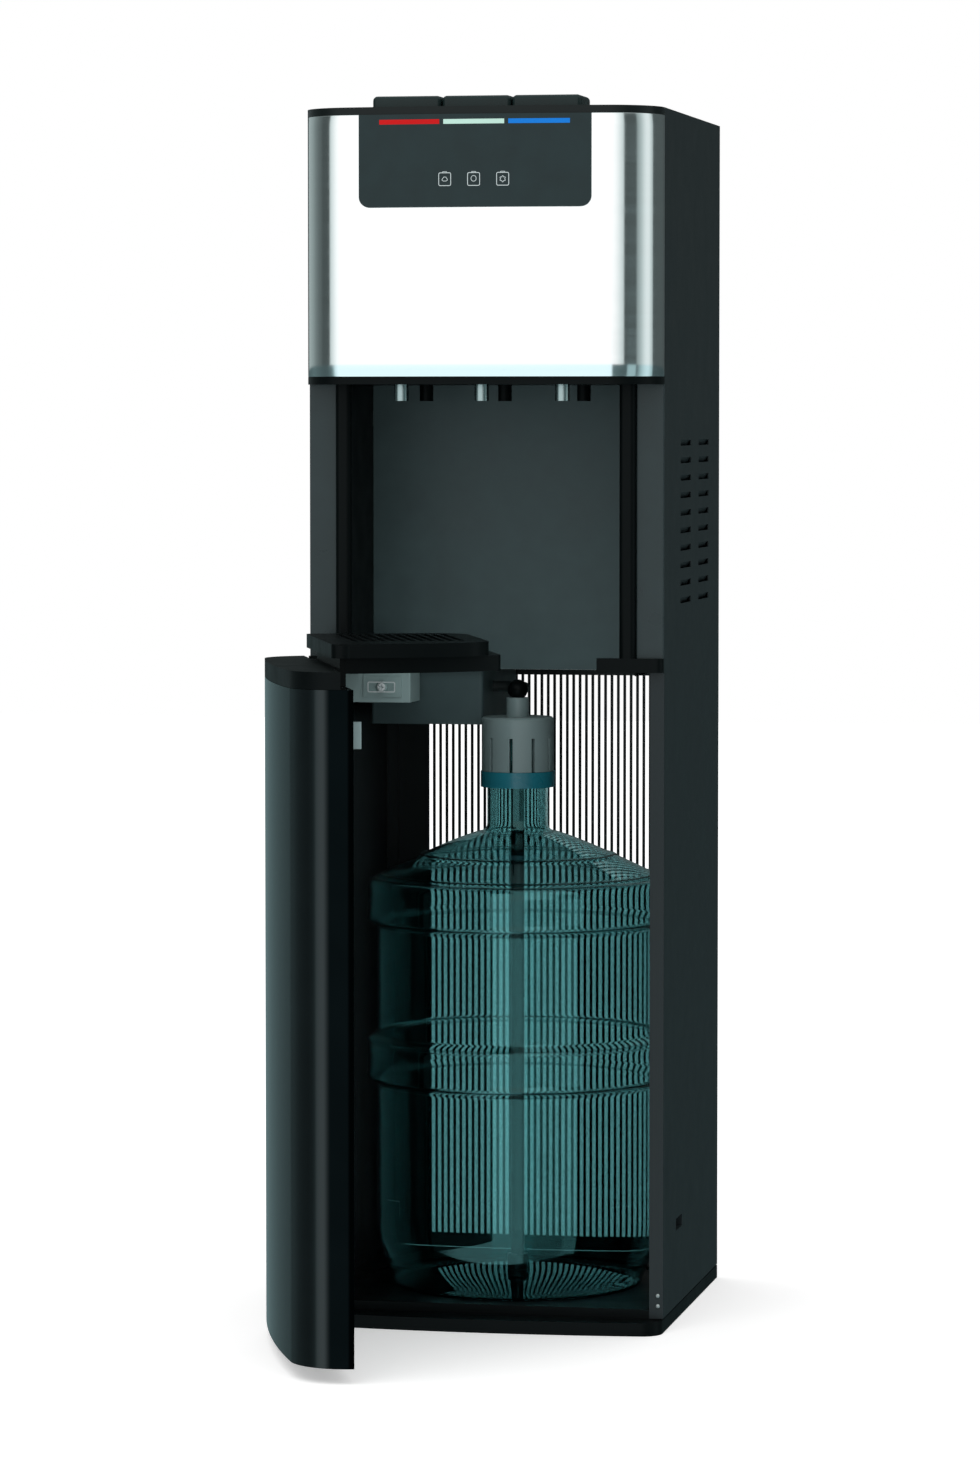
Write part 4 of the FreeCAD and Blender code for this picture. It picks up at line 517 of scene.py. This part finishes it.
def smooth_group():
    """Joins the triangles of a mesh and shades it smooth up to the sharp angle, without touching the mesh."""
    name = "Smooth by angle"
    if name in bpy.data.node_groups:
        return bpy.data.node_groups[name]
    group = bpy.data.node_groups.new(name, "GeometryNodeTree")
    group.interface.new_socket("Geometry", in_out="INPUT", socket_type="NodeSocketGeometry")
    group.interface.new_socket("Geometry", in_out="OUTPUT", socket_type="NodeSocketGeometry")
    given, out = group.nodes.new("NodeGroupInput"), group.nodes.new("NodeGroupOutput")
    join = group.nodes.new("GeometryNodeMergeByDistance")
    join.inputs["Distance"].default_value = 1e-6
    angle = group.nodes.new("GeometryNodeInputMeshEdgeAngle")
    sharp = group.nodes.new("FunctionNodeCompare")
    sharp.operation = "GREATER_THAN"
    sharp.inputs[1].default_value = SHARP_ANGLE
    faces = group.nodes.new("GeometryNodeSetShadeSmooth")
    faces.domain = "FACE"
    edges = group.nodes.new("GeometryNodeSetShadeSmooth")
    edges.domain = "EDGE"
    edges.inputs["Shade Smooth"].default_value = False
    group.links.new(given.outputs[0], join.inputs[0])
    group.links.new(join.outputs[0], faces.inputs["Geometry"])
    group.links.new(faces.outputs[0], edges.inputs["Geometry"])
    group.links.new(angle.outputs["Unsigned Angle"], sharp.inputs[0])
    group.links.new(sharp.outputs[0], edges.inputs["Selection"])
    group.links.new(edges.outputs[0], out.inputs[0])
    return group


# ------------------------------------------------------------------------------------------
# Surfaces
# ------------------------------------------------------------------------------------------
def add_mesh(name, points, faces, finish, body, smooth=True):
    """A mesh object from arrays of points and faces, with its finish, riding on a body."""
    mesh = bpy.data.meshes.new(name)
    mesh.from_pydata(points.tolist(), [], faces.tolist())
    mesh.polygons.foreach_set("use_smooth", np.full(len(faces), smooth))
    mesh.materials.append(finish_of(finish))
    mesh.update()
    made = bpy.data.objects.new(name, mesh)
    bpy.context.scene.collection.objects.link(made)
    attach(made, body)
    return made


def grid_faces(rows, columns, wrap_rows=False, wrap_columns=False, start=0):
    """Quads between neighbours of a rows by columns grid, whose points are numbered along each row."""
    r = np.arange(rows if wrap_rows else rows - 1)
    c = np.arange(columns if wrap_columns else columns - 1)
    row, column = np.meshgrid(r, c, indexing="ij")
    after, beside = (row + 1) % rows, (column + 1) % columns
    quads = np.stack([row * columns + column, row * columns + beside,
                      after * columns + beside, after * columns + column], axis=-1)
    return quads.reshape(-1, 4) + start


def turned(profile, count, centre):
    """A surface of revolution: each profile point (radius, level) goes round the axis at count equal angles.
    Its columns run anticlockwise seen from above, so a profile that rises on the outside faces outwards."""
    angle = np.linspace(0, 2 * np.pi, count, endpoint=False)
    radius, level = profile[:, 0], profile[:, 1]
    x = centre[0] + radius[:, None] * np.cos(angle)
    y = centre[1] + radius[:, None] * np.sin(angle)
    z = np.broadcast_to(level[:, None], x.shape)
    return np.stack([x, y, z], axis=-1).reshape(-1, 3)


def close_poles(made):
    """Joins the points that a turned surface stacks on its axis, so that its ends are closed."""
    import bmesh
    work = bmesh.new()
    work.from_mesh(made.data)
    bmesh.ops.remove_doubles(work, verts=work.verts, dist=1e-6)
    work.to_mesh(made.data)
    work.free()


def front_plan(outset, marks=()):
    """The bowed front plan seen from above, from the right side round to the left, standing out by outset:
    a straight side, a round corner and one big arc. The corner's centre is where a circle of the corner
    radius touches both. marks are places across the arc, in metres, where a point must lie."""
    sizes = settings()[1]
    centre_y = HEAD_FRONT + sizes.bow
    corner_x = HALF_WIDTH - sizes.corner
    reach = sizes.bow - sizes.corner
    corner_y = centre_y - math.sqrt(reach ** 2 - corner_x ** 2)
    tilt = math.asin(corner_x / reach)
    radius, bow = sizes.corner + outset, sizes.bow + outset
    turn = np.linspace(0, np.pi / 2 - tilt, 18)
    corner = np.stack([corner_x + radius * np.cos(turn), corner_y - radius * np.sin(turn)], axis=1)
    stops = [tilt] + sorted((math.asin(m / bow) for m in marks), reverse=True) + [-tilt]
    spans = [np.linspace(a, b, 25) for a, b in zip(stops, stops[1:])]
    sweep = np.unique(np.concatenate(spans).round(9))[::-1]
    arc = np.stack([bow * np.sin(sweep), centre_y - bow * np.cos(sweep)], axis=1)[1:-1]
    side = np.array([[HALF_WIDTH + outset, FRONT_PLANE - 0.2 * MM]])
    mirror = np.array([-1.0, 1.0])
    return np.concatenate([side, corner, arc, corner[::-1] * mirror, side * mirror])


def face_at(across, outset):
    """Y of the bowed face at places across the front: the near side of the big circle."""
    sizes = settings()[1]
    bow = sizes.bow + outset
    return HEAD_FRONT + sizes.bow - np.sqrt(bow ** 2 - np.asarray(across) ** 2)


def smooth_shaded(made):
    made.modifiers.new("Smooth by angle", "NODES").node_group = smooth_group()


# ------------------------------------------------------------------------------------------
# Operators, one for each piece or group of like pieces
# ------------------------------------------------------------------------------------------
class COOLER_OT_finishes(bpy.types.Operator):
    """Gives every carried node its finish and shades its rounds smooth"""
    bl_idname = "cooler.finishes"
    bl_label = "Dress the frame"

    def execute(self, context):
        for finish, names in NODE_FINISH.items():
            for name in names:
                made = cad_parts[name]
                for place in made.material_slots:
                    place.link = "OBJECT"
                    place.material = finish_of(finish)
                smooth_shaded(made)
        return {"FINISHED"}


class COOLER_OT_head_wrap(bpy.types.Operator):
    """The brushed steel wrap of the head, from the plan and two levels, open behind the control panel"""
    bl_idname = "cooler.head_wrap"
    bl_label = "Steel head wrap"

    def execute(self, context):
        edge = settings()[1].steel_edge
        bottom, top = float(low("head_panel")[2]), float(high("head_panel")[2])
        lap = 3 * MM
        window = float(high("control_panel")[0]) - lap
        sill = float(low("control_panel")[2]) + lap
        plan = front_plan(-0.01 * MM, (window, -window))
        levels = np.concatenate([np.linspace(bottom, sill, 14), np.linspace(sill, top, 8)])
        levels = np.unique(levels.round(9))
        count = len(plan)
        x = np.broadcast_to(plan[:, 0], (len(levels), count))
        y = np.broadcast_to(plan[:, 1], (len(levels), count))
        z = np.broadcast_to(levels[:, None], x.shape)
        points = np.stack([x, y, z], axis=-1).reshape(-1, 3)
        faces = grid_faces(len(levels), count)[:, ::-1]
        middle = points[faces].mean(axis=1)
        on_front = middle[:, 1] < FRONT_PLANE - 30 * MM
        faces = faces[~((np.abs(middle[:, 0]) < window) & on_front & (middle[:, 2] > sill))]
        wrap = add_mesh("head_wrap", points, faces, "steel", "root")
        wall = wrap.modifiers.new("Wall", "SOLIDIFY")
        wall.thickness = 1.2 * MM
        wall.offset = -1.0
        wall.use_even_offset = True
        roll = wrap.modifiers.new("Rolled edge", "BEVEL")
        roll.width = edge * 0.8
        roll.segments = 2
        roll.limit_method = "ANGLE"
        roll.angle_limit = math.radians(60)
        smooth_shaded(wrap)
        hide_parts("head_panel")
        return {"FINISHED"}


# The bottle's forms in metres: rises from its foot, and bands by their levels above the floor, of which
# the upper one runs on to the brow
BOTTLE_BASE = 112 * MM
BOTTLE_HEEL = 6 * MM
BOTTLE_NECK = 27 * MM
BOTTLE_FLARE = 7 * MM
CROWN_RISE = 404 * MM
BROW_DROP = 50 * MM
BROW_RADIUS = 126 * MM
SHOULDER_FALL = 43.5 * MM
SHOULDER_RINGS = (87 * MM, 123 * MM)
BEAD_RISE = 0.7 * MM
WAIST_DEPTH = 7.8 * MM
BAND_SLOPE = 7 * MM
BANDS = ((203 * MM, 237 * MM), (343 * MM, 2.0))


def bottle_profile(sizes):
    """Outside of the bottle as (radius, level): a domed foot, a waist with two bands whose edges are rolled
    beads, a round brow, a shoulder that falls as a power of the radius with two rings on it, a small flare
    and a straight neck. Bands rise as smooth steps."""
    foot, top = float(low("water_bottle")[2]), float(high("water_bottle")[2])
    radius = float(high("water_bottle")[0] - BOTTLE_AXIS[0])
    band = radius - BEAD_RISE
    waist = band - WAIST_DEPTH
    crown = foot + CROWN_RISE
    shoulder = crown - BROW_DROP
    heel = foot + BOTTLE_HEEL

    under = np.linspace(0, 1, 10)
    dome = np.stack([(BOTTLE_BASE - BOTTLE_HEEL) * under, foot + 10 * MM * (1 - under ** 3)], axis=1)
    turn = np.linspace(0, np.pi / 2, 8)[1:]
    heel_round = np.stack([BOTTLE_BASE - BOTTLE_HEEL + BOTTLE_HEEL * np.sin(turn),
                           foot + BOTTLE_HEEL * (1 - np.cos(turn))], axis=1)

    edges = [BANDS[0][0], BANDS[0][1], BANDS[1][0]]
    flared = foot + 56 * MM
    level = np.concatenate([np.linspace(heel, flared, 14), np.linspace(flared, shoulder, 16)]
                           + [np.linspace(e - 9 * MM, e + 9 * MM, 25) for e in edges])
    level = np.unique(level.round(6))
    level = level[(level > heel + 0.1 * MM) & (level <= shoulder)]
    widening = np.clip((level - heel) / (50 * MM), 0, 1)
    side = BOTTLE_BASE + (waist - BOTTLE_BASE) * np.sin(widening * np.pi / 2)
    for start, end in BANDS:
        rise = np.clip((level - start + BAND_SLOPE) / BAND_SLOPE, 0, 1)
        fall = np.clip((end + BAND_SLOPE - level) / BAND_SLOPE, 0, 1)
        step = rise ** 2 * (3 - 2 * rise) * fall ** 2 * (3 - 2 * fall)
        side = side + (band - waist) * step
        for edge in (start + 1.5 * MM, end - 1.5 * MM):
            side = side + BEAD_RISE * np.exp(-((level - edge) / sizes.bead) ** 2)
    body = np.stack([side, level], axis=1)

    collar = BOTTLE_NECK + BOTTLE_FLARE
    spread = np.linspace(BROW_RADIUS, collar, 80)
    fall = SHOULDER_FALL * ((spread - collar) / (band - collar)) ** 1.15
    rings = sum(1.3 * MM * np.exp(-((spread - r) / (1.7 * MM)) ** 2) for r in SHOULDER_RINGS)
    slope = np.stack([spread, crown - fall + rings], axis=1)
    turn = np.linspace(np.pi / 2, 0, 14)[1:-1]
    brow = np.stack([BROW_RADIUS + (band - BROW_RADIUS) * np.sin(turn),
                     shoulder + (slope[0, 1] - shoulder) * np.cos(turn)], axis=1)

    turn = np.linspace(0, np.pi / 2, 8)[1:]
    root = np.stack([collar - BOTTLE_FLARE * np.sin(turn), crown + BOTTLE_FLARE * (1 - np.cos(turn))], axis=1)
    height = np.linspace(crown + BOTTLE_FLARE, top, 14)[1:]
    ring = 0.8 * MM * np.exp(-((height - top + 45 * MM) / (2 * MM)) ** 2)
    throat = np.stack([BOTTLE_NECK + ring, height], axis=1)
    return np.concatenate([dome, heel_round, body, brow, slope, root, throat])


def offset_inwards(profile, wall):
    """The profile moved by a wall's thickness to its left, along its own normal."""
    step = np.diff(profile, axis=0)
    step /= np.linalg.norm(step, axis=1, keepdims=True) + 1e-12
    along = np.concatenate([step[:1], step[:-1] + step[1:], step[-1:]])
    along /= np.linalg.norm(along, axis=1, keepdims=True) + 1e-12
    moved = profile + wall * np.stack([-along[:, 1], along[:, 0]], axis=1)
    moved[:, 0] = np.maximum(moved[:, 0], 0.0)
    moved[0, 0] = 0.0
    return moved


class COOLER_OT_bottle(bpy.types.Operator):
    """The clear bottle: its outside and inside are one closed turned surface, joined at the lip"""
    bl_idname = "cooler.bottle"
    bl_label = "Clear bottle"

    def execute(self, context):
        sizes = settings()[1]
        outside = bottle_profile(sizes)
        inside = offset_inwards(outside, sizes.bottle_wall)
        inside[:, 1] = np.minimum(inside[:, 1], outside[-1, 1])
        profile = np.concatenate([outside, inside[::-1]])
        count = 200
        faces = grid_faces(len(profile), count, wrap_columns=True)
        made = add_mesh("clear_bottle", turned(profile, count, BOTTLE_AXIS), faces, "bottle", "root")
        close_poles(made)
        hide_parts("water_bottle")
        return {"FINISHED"}


def ribbon(path, width, thick, face):
    """A closed flat line that stands on a front face: a rectangle section, width by thick, carried round a
    closed path of (across, level) points. Left and right edges lie along the path's own normal, and
    face(across, height above it) gives Y."""
    along = np.roll(path, -1, axis=0) - np.roll(path, 1, axis=0)
    along /= np.linalg.norm(along, axis=1, keepdims=True) + 1e-12
    normal = np.stack([along[:, 1], -along[:, 0]], axis=1)
    rows = []
    for sideways, forward in ((-0.5, 1), (0.5, 1), (0.5, 0), (-0.5, 0)):
        place = path + normal * width * sideways
        rows.append(np.stack([place[:, 0], face(place[:, 0], forward * thick), place[:, 1]], axis=1))
    points = np.stack(rows, axis=1)
    return points.reshape(-1, 3), grid_faces(len(path), 4, wrap_rows=True, wrap_columns=True)


def rounded_square(centre, half_width, half_height, corner, count=8):
    """A closed rounded rectangle: four quarter circles whose ends are joined by straight sides."""
    turn = np.linspace(0, np.pi / 2, count)
    parts = []
    for quarter, (sx, sz) in enumerate(((1, 1), (-1, 1), (-1, -1), (1, -1))):
        angle = turn + quarter * np.pi / 2
        parts.append(np.stack([centre[0] + sx * (half_width - corner) + corner * np.cos(angle),
                               centre[1] + sz * (half_height - corner) + corner * np.sin(angle)], axis=1))
    return np.concatenate(parts)


def lobed_ring(middle, radius, lobes, depth, stretch, count=40):
    """A closed ring whose radius swells lobes times round it, drawn out upwards by stretch."""
    turn = np.linspace(0, 2 * np.pi, count, endpoint=False)
    swell = radius * (1 + depth * np.cos(lobes * (turn - np.pi / 2)))
    return np.stack([middle[0] + swell * np.cos(turn), middle[1] + stretch * swell * np.sin(turn)], axis=1)


# Lobes, depth and stretch of the figure in each icon, from left to right
ICON_FIGURES = ((3, 0.10, 0.8), (1, 0.22, 1.1), (6, 0.20, 1.0))


class COOLER_OT_icons(bpy.types.Operator):
    """Three plain outline icons printed on the control panel: a warm wave, a drop and a star"""
    bl_idname = "cooler.icons"
    bl_label = "Panel icons"

    def execute(self, context):
        sizes = settings()[1]
        outset, thick = 1.0 * MM, 0.12 * MM
        half = sizes.icon / 2
        paths = []
        for place, (lobes, depth, stretch) in zip((-1, 0, 1), ICON_FIGURES):
            middle = (place * sizes.icon_pitch, sizes.icon_level)
            tab = (middle[0], middle[1] + half * 1.12)
            paths.append((rounded_square(middle, half, half * 1.04, 1.3 * MM), sizes.icon_line))
            paths.append((rounded_square(tab, half * 0.34, half * 0.10, 0.25 * MM), sizes.icon_line * 0.7))
            paths.append((lobed_ring(middle, half * 0.42, lobes, depth, stretch), sizes.icon_line * 0.8))
        points, faces, start = [], [], 0
        for path, width in paths:
            place, quads = ribbon(path, width, thick, lambda x, rise: face_at(x, outset + rise))
            points.append(place)
            faces.append(quads + start)
            start += len(place)
        made = add_mesh("panel_icons", np.concatenate(points), np.concatenate(faces), "mark", "root",
                        smooth=False)
        return {"FINISHED"}


def screw_head(radius, rise):
    """A pan head with a cross recess, facing +Z: a dome of rings whose level drops where |x| or |y| is
    within the cross and the radius is inside its reach, then a side wall down to the seat."""
    ring = np.concatenate([np.linspace(0, 0.98, 12), [1.0, 1.0]])
    angle = np.linspace(0, 2 * np.pi, 32, endpoint=False)
    r, a = np.meshgrid(ring, angle, indexing="ij")
    x, y = r * np.cos(a), r * np.sin(a)
    dome = 1 - 0.45 * r ** 4
    arm = np.minimum(np.abs(x), np.abs(y))
    cross = np.clip((0.16 - arm) / 0.06, 0, 1) * np.clip((0.62 - r) / 0.10, 0, 1)
    level = dome - 0.75 * cross
    level[-1] = 0.0
    points = np.stack([x * radius, y * radius, level * rise], axis=-1).reshape(-1, 3)
    return points, grid_faces(len(ring), 32, wrap_columns=True)


class COOLER_OT_screws(bpy.types.Operator):
    """Pan head screws on the front flange beside the door and along the rear sheets"""
    bl_idname = "cooler.screws"
    bl_label = "Case screws"

    def execute(self, context):
        rear_face = float(high("rear_panel")[1])
        boundary = float(high("rear_grille")[2])
        top = float(high("rear_panel")[2])
        floor = float(high("base_tray")[2])
        bottom = float(low("side_panel_right")[2])
        screws = [(HALF_WIDTH - 4.5 * MM, FRONT_PLANE, bottom + above * MM, 1.75 * MM, 1.0 * MM, -1)
                  for above in (11, 20)]
        for side in (-1, 1):
            for level in (boundary - 12 * MM, boundary + 14 * MM, floor + 14 * MM, top - 12 * MM):
                screws.append((side * (HALF_WIDTH - 7 * MM), rear_face, level, 3.5 * MM, 1.6 * MM, 1))
        points, faces, start = [], [], 0
        for across, deep, level, radius, rise, way in screws:
            head, quads = screw_head(radius, rise)
            points.append(np.stack([across - way * head[:, 0], deep + way * head[:, 2],
                                    level + head[:, 1]], axis=1))
            faces.append(quads + start)
            start += len(head)
        made = add_mesh("screw_heads", np.concatenate(points), np.concatenate(faces), "zinc", "root")
        close_poles(made)
        smooth_shaded(made)
        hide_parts("case_screws")
        return {"FINISHED"}


class COOLER_OT_service_frame(bpy.types.Operator):
    """The raised line and the screw on the service cover in the bottle bay"""
    bl_idname = "cooler.service_frame"
    bl_label = "Service cover frame"

    def execute(self, context):
        near, far = low("service_box_cover"), high("service_box_cover")
        middle = (near + far) / 2
        half = (far - near) / 2
        path = rounded_square((middle[0], middle[2]), half[0] - 5 * MM, half[2] - 4.5 * MM, 1.2 * MM)
        line, quads = ribbon(path, 0.9 * MM, 0.5 * MM, lambda x, rise: np.full_like(x, near[1]) - rise)
        head, caps = screw_head(3.6 * MM, 1.8 * MM)
        screw = np.stack([middle[0] + head[:, 0], near[1] - head[:, 2], middle[2] + head[:, 1]], axis=1)
        faces = np.concatenate([quads, caps + len(line)])
        made = add_mesh("service_frame", np.concatenate([line, screw]), faces, "mark", "root")
        close_poles(made)
        smooth_shaded(made)
        return {"FINISHED"}


# Brightness round the studio by azimuth in degrees: 0 is towards the camera side, + to the cooler's right.
# The first is what gloss sees level and above, the second below the horizon.
STUDIO_BANDS = (
    (-180, 0.06), (-146, 0.06), (-143, 0.40), (-130, 0.34), (-115, 0.27), (-108, 0.21), (-101, 0.17),
    (-94, 0.13), (-87, 0.11), (-80, 0.073), (-63, 0.073), (-60.5, 0.60), (-52, 0.79), (-45, 0.93),
    (-37, 1.0), (15, 1.0), (22, 0.95), (29, 0.82), (36, 0.65), (39, 0.62), (41, 0.075), (67, 0.08),
    (69, 0.27), (79, 0.46), (86, 0.63), (93, 0.74), (100, 0.74), (107, 0.53), (110, 0.50), (112, 0.085),
    (146, 0.085), (180, 0.06),
)
LOWER_BANDS = (
    (-180, 0.25), (-160, 0.20), (-146, 0.11), (-130, 0.13), (-113, 0.15), (-95, 0.12), (-83, 0.10),
    (-70, 0.09), (-60, 0.15), (-55, 0.27), (-48.8, 0.82), (-42, 1.0), (14, 1.0), (17, 0.15), (46, 0.10),
    (49, 0.45), (66, 0.45), (68, 0.10), (79, 0.46), (86, 0.63), (93, 0.74), (100, 0.74), (107, 0.53),
    (110, 0.50), (112, 0.085), (146, 0.07), (180, 0.07),
)
LOWER_TINT = (0.74, 0.92, 0.96)
# Heights of a ray's direction between which the lower bands give way, and the bands to the ceiling
HORIZON = (-0.05, -0.01)
CEILING_START = (0.35, 0.75)
CEILING = (0.66, 0.75, 0.75)
GLOSS_LIFT = 1.12
FLOOR_REACH = 9.0
FLOOR_TONES = ((0.95, 0.95, 0.95), (0.97, 0.97, 0.97))


def band_ramp(tree, turn, bands, tint=(1.0, 1.0, 1.0)):
    """A colour ramp round the studio; what is dim is a little teal, as the photograph's dim flats are."""
    ramp = tree.nodes.new("ShaderNodeValToRGB")
    tree.links.new(turn, ramp.inputs["Fac"])
    band = ramp.color_ramp
    while len(band.elements) > 1:
        band.elements.remove(band.elements[-1])
    for n, (degrees, bright) in enumerate(bands):
        stop = band.elements[0] if n == 0 else band.elements.new(degrees / 360 + 0.5)
        stop.position = degrees / 360 + 0.5
        stop.color = (bright * tint[0] * (0.80 + 0.20 * bright ** 2), bright * tint[1], bright * tint[2], 1.0)
    return ramp.outputs["Color"]


def studio_world(studio):
    """White to the camera, even soft light for diffuse rays, and a studio of upright flats for gloss."""
    world = bpy.data.worlds.new("Studio")
    world.use_nodes = True
    tree = world.node_tree
    tree.nodes.clear()
    out = tree.nodes.new("ShaderNodeOutputWorld")
    back = tree.nodes.new("ShaderNodeBackground")
    tree.links.new(back.outputs[0], out.inputs["Surface"])
    way = tree.nodes.new("ShaderNodeTexCoord")
    parts = tree.nodes.new("ShaderNodeSeparateXYZ")
    tree.links.new(way.outputs["Generated"], parts.inputs[0])
    ahead = math_node(tree, "MULTIPLY", parts.outputs["Y"], -1.0)
    azimuth = math_node(tree, "ARCTAN2", parts.outputs["X"], ahead)
    turn = math_node(tree, "ADD", math_node(tree, "MULTIPLY", azimuth, 0.5 / math.pi), 0.5)
    lower = band_ramp(tree, turn, LOWER_BANDS, LOWER_TINT)
    upper = band_ramp(tree, turn, STUDIO_BANDS)
    flats = between(tree, smooth_step(tree, parts.outputs["Z"], *HORIZON), lower, upper)
    gloss = between(tree, smooth_step(tree, parts.outputs["Z"], *CEILING_START), flats, CEILING)
    lifted = tree.nodes.new("ShaderNodeVectorMath")
    lifted.operation = "SCALE"
    lifted.inputs["Scale"].default_value = GLOSS_LIFT
    tree.links.new(gloss, lifted.inputs[0])
    path = tree.nodes.new("ShaderNodeLightPath")
    lit = between(tree, path.outputs["Is Glossy Ray"], (studio.ambient,) * 3, lifted.outputs[0])
    seen = between(tree, seen_directly(tree, path), lit, (1.0, 1.0, 1.0))
    tree.links.new(seen, back.inputs["Color"])
    world.cycles.sampling_method = "NONE"
    bpy.context.scene.world = world


class COOLER_OT_studio(bpy.types.Operator):
    """Camera at the photograph's angle, pale floor, one large soft lamp and the white studio"""
    bl_idname = "cooler.studio"
    bl_label = "Studio"

    def execute(self, context):
        studio = settings()[2]
        scene = context.scene
        eye = bpy.data.cameras.new("Camera")
        eye.lens = studio.lens
        eye.sensor_width = 36.0
        camera = bpy.data.objects.new("Camera", eye)
        camera.location = studio.place
        camera.rotation_euler = (math.pi / 2 - studio.pitch, 0.0, studio.yaw)
        scene.collection.objects.link(camera)
        scene.camera = camera

        floor_mesh = bpy.data.meshes.new("Floor")
        square = ((-1, -1), (1, -1), (1, 1), (-1, 1))
        floor_mesh.from_pydata([(x * FLOOR_REACH, y * FLOOR_REACH, 0) for x, y in square], [], [(0, 1, 2, 3)])
        floor = bpy.data.objects.new("Floor", floor_mesh)
        scene.collection.objects.link(floor)
        paint, tree, shader = principled("Pale floor", FLOOR_TONES[0], 1.0, specular=0.0,
                                         emission_strength=0.35)
        path = tree.nodes.new("ShaderNodeLightPath")
        tree.links.new(seen_directly(tree, path), shader.inputs["Emission Color"])
        grain = effect(tree, moulded_grain, scale=60.0)
        toned = between(tree, grain.outputs["Mottle"], *FLOOR_TONES)
        tree.links.new(toned, shader.inputs["Base Color"])
        floor_mesh.materials.append(paint)
        floor.visible_glossy = False

        lamp = bpy.data.lights.new("Soft lamp", "AREA")
        lamp.shape = "RECTANGLE"
        lamp.size, lamp.size_y = 3.2, 2.6
        lamp.energy = studio.key
        key = bpy.data.objects.new("Soft lamp", lamp)
        key.location = (-0.6, -2.0, 3.1)
        key.rotation_euler = (Vector((0, 0, 0.5)) - key.location).to_track_quat("-Z", "Y").to_euler()
        key.visible_glossy = False
        scene.collection.objects.link(key)
        studio_world(studio)
        scene.view_settings.view_transform = "Standard"
        return {"FINISHED"}


class COOLER_PT_pieces(bpy.types.Panel):
    """Lists the pieces and the studio"""
    bl_label = "Water cooler"
    bl_idname = "COOLER_PT_pieces"
    bl_space_type = "VIEW_3D"
    bl_region_type = "UI"
    bl_category = "Cooler"

    def draw(self, context):
        for piece in PIECES:
            self.layout.operator(piece.bl_idname)
        for group in (context.scene.cooler_colours, context.scene.cooler_sizes, context.scene.cooler_studio):
            for field in group.bl_rna.properties:
                if field.identifier not in {"rna_type", "name"}:
                    self.layout.prop(group, field.identifier)


PIECES = (COOLER_OT_finishes, COOLER_OT_head_wrap, COOLER_OT_bottle, COOLER_OT_icons, COOLER_OT_screws,
          COOLER_OT_service_frame, COOLER_OT_studio)
GROUPS_OF_SETTINGS = (CoolerColours, CoolerSizes, CoolerStudio)


def register():
    for made in GROUPS_OF_SETTINGS + PIECES + (COOLER_PT_pieces,):
        bpy.utils.register_class(made)
    bpy.types.Scene.cooler_colours = bpy.props.PointerProperty(type=CoolerColours)
    bpy.types.Scene.cooler_sizes = bpy.props.PointerProperty(type=CoolerSizes)
    bpy.types.Scene.cooler_studio = bpy.props.PointerProperty(type=CoolerStudio)


def unregister():
    del bpy.types.Scene.cooler_colours
    del bpy.types.Scene.cooler_sizes
    del bpy.types.Scene.cooler_studio
    for made in reversed(GROUPS_OF_SETTINGS + PIECES + (COOLER_PT_pieces,)):
        bpy.utils.unregister_class(made)


def main():
    register()
    for piece in PIECES:
        group, name = piece.bl_idname.split(".")
        getattr(getattr(bpy.ops, group), name)()


if __name__ == "__main__":
    main()
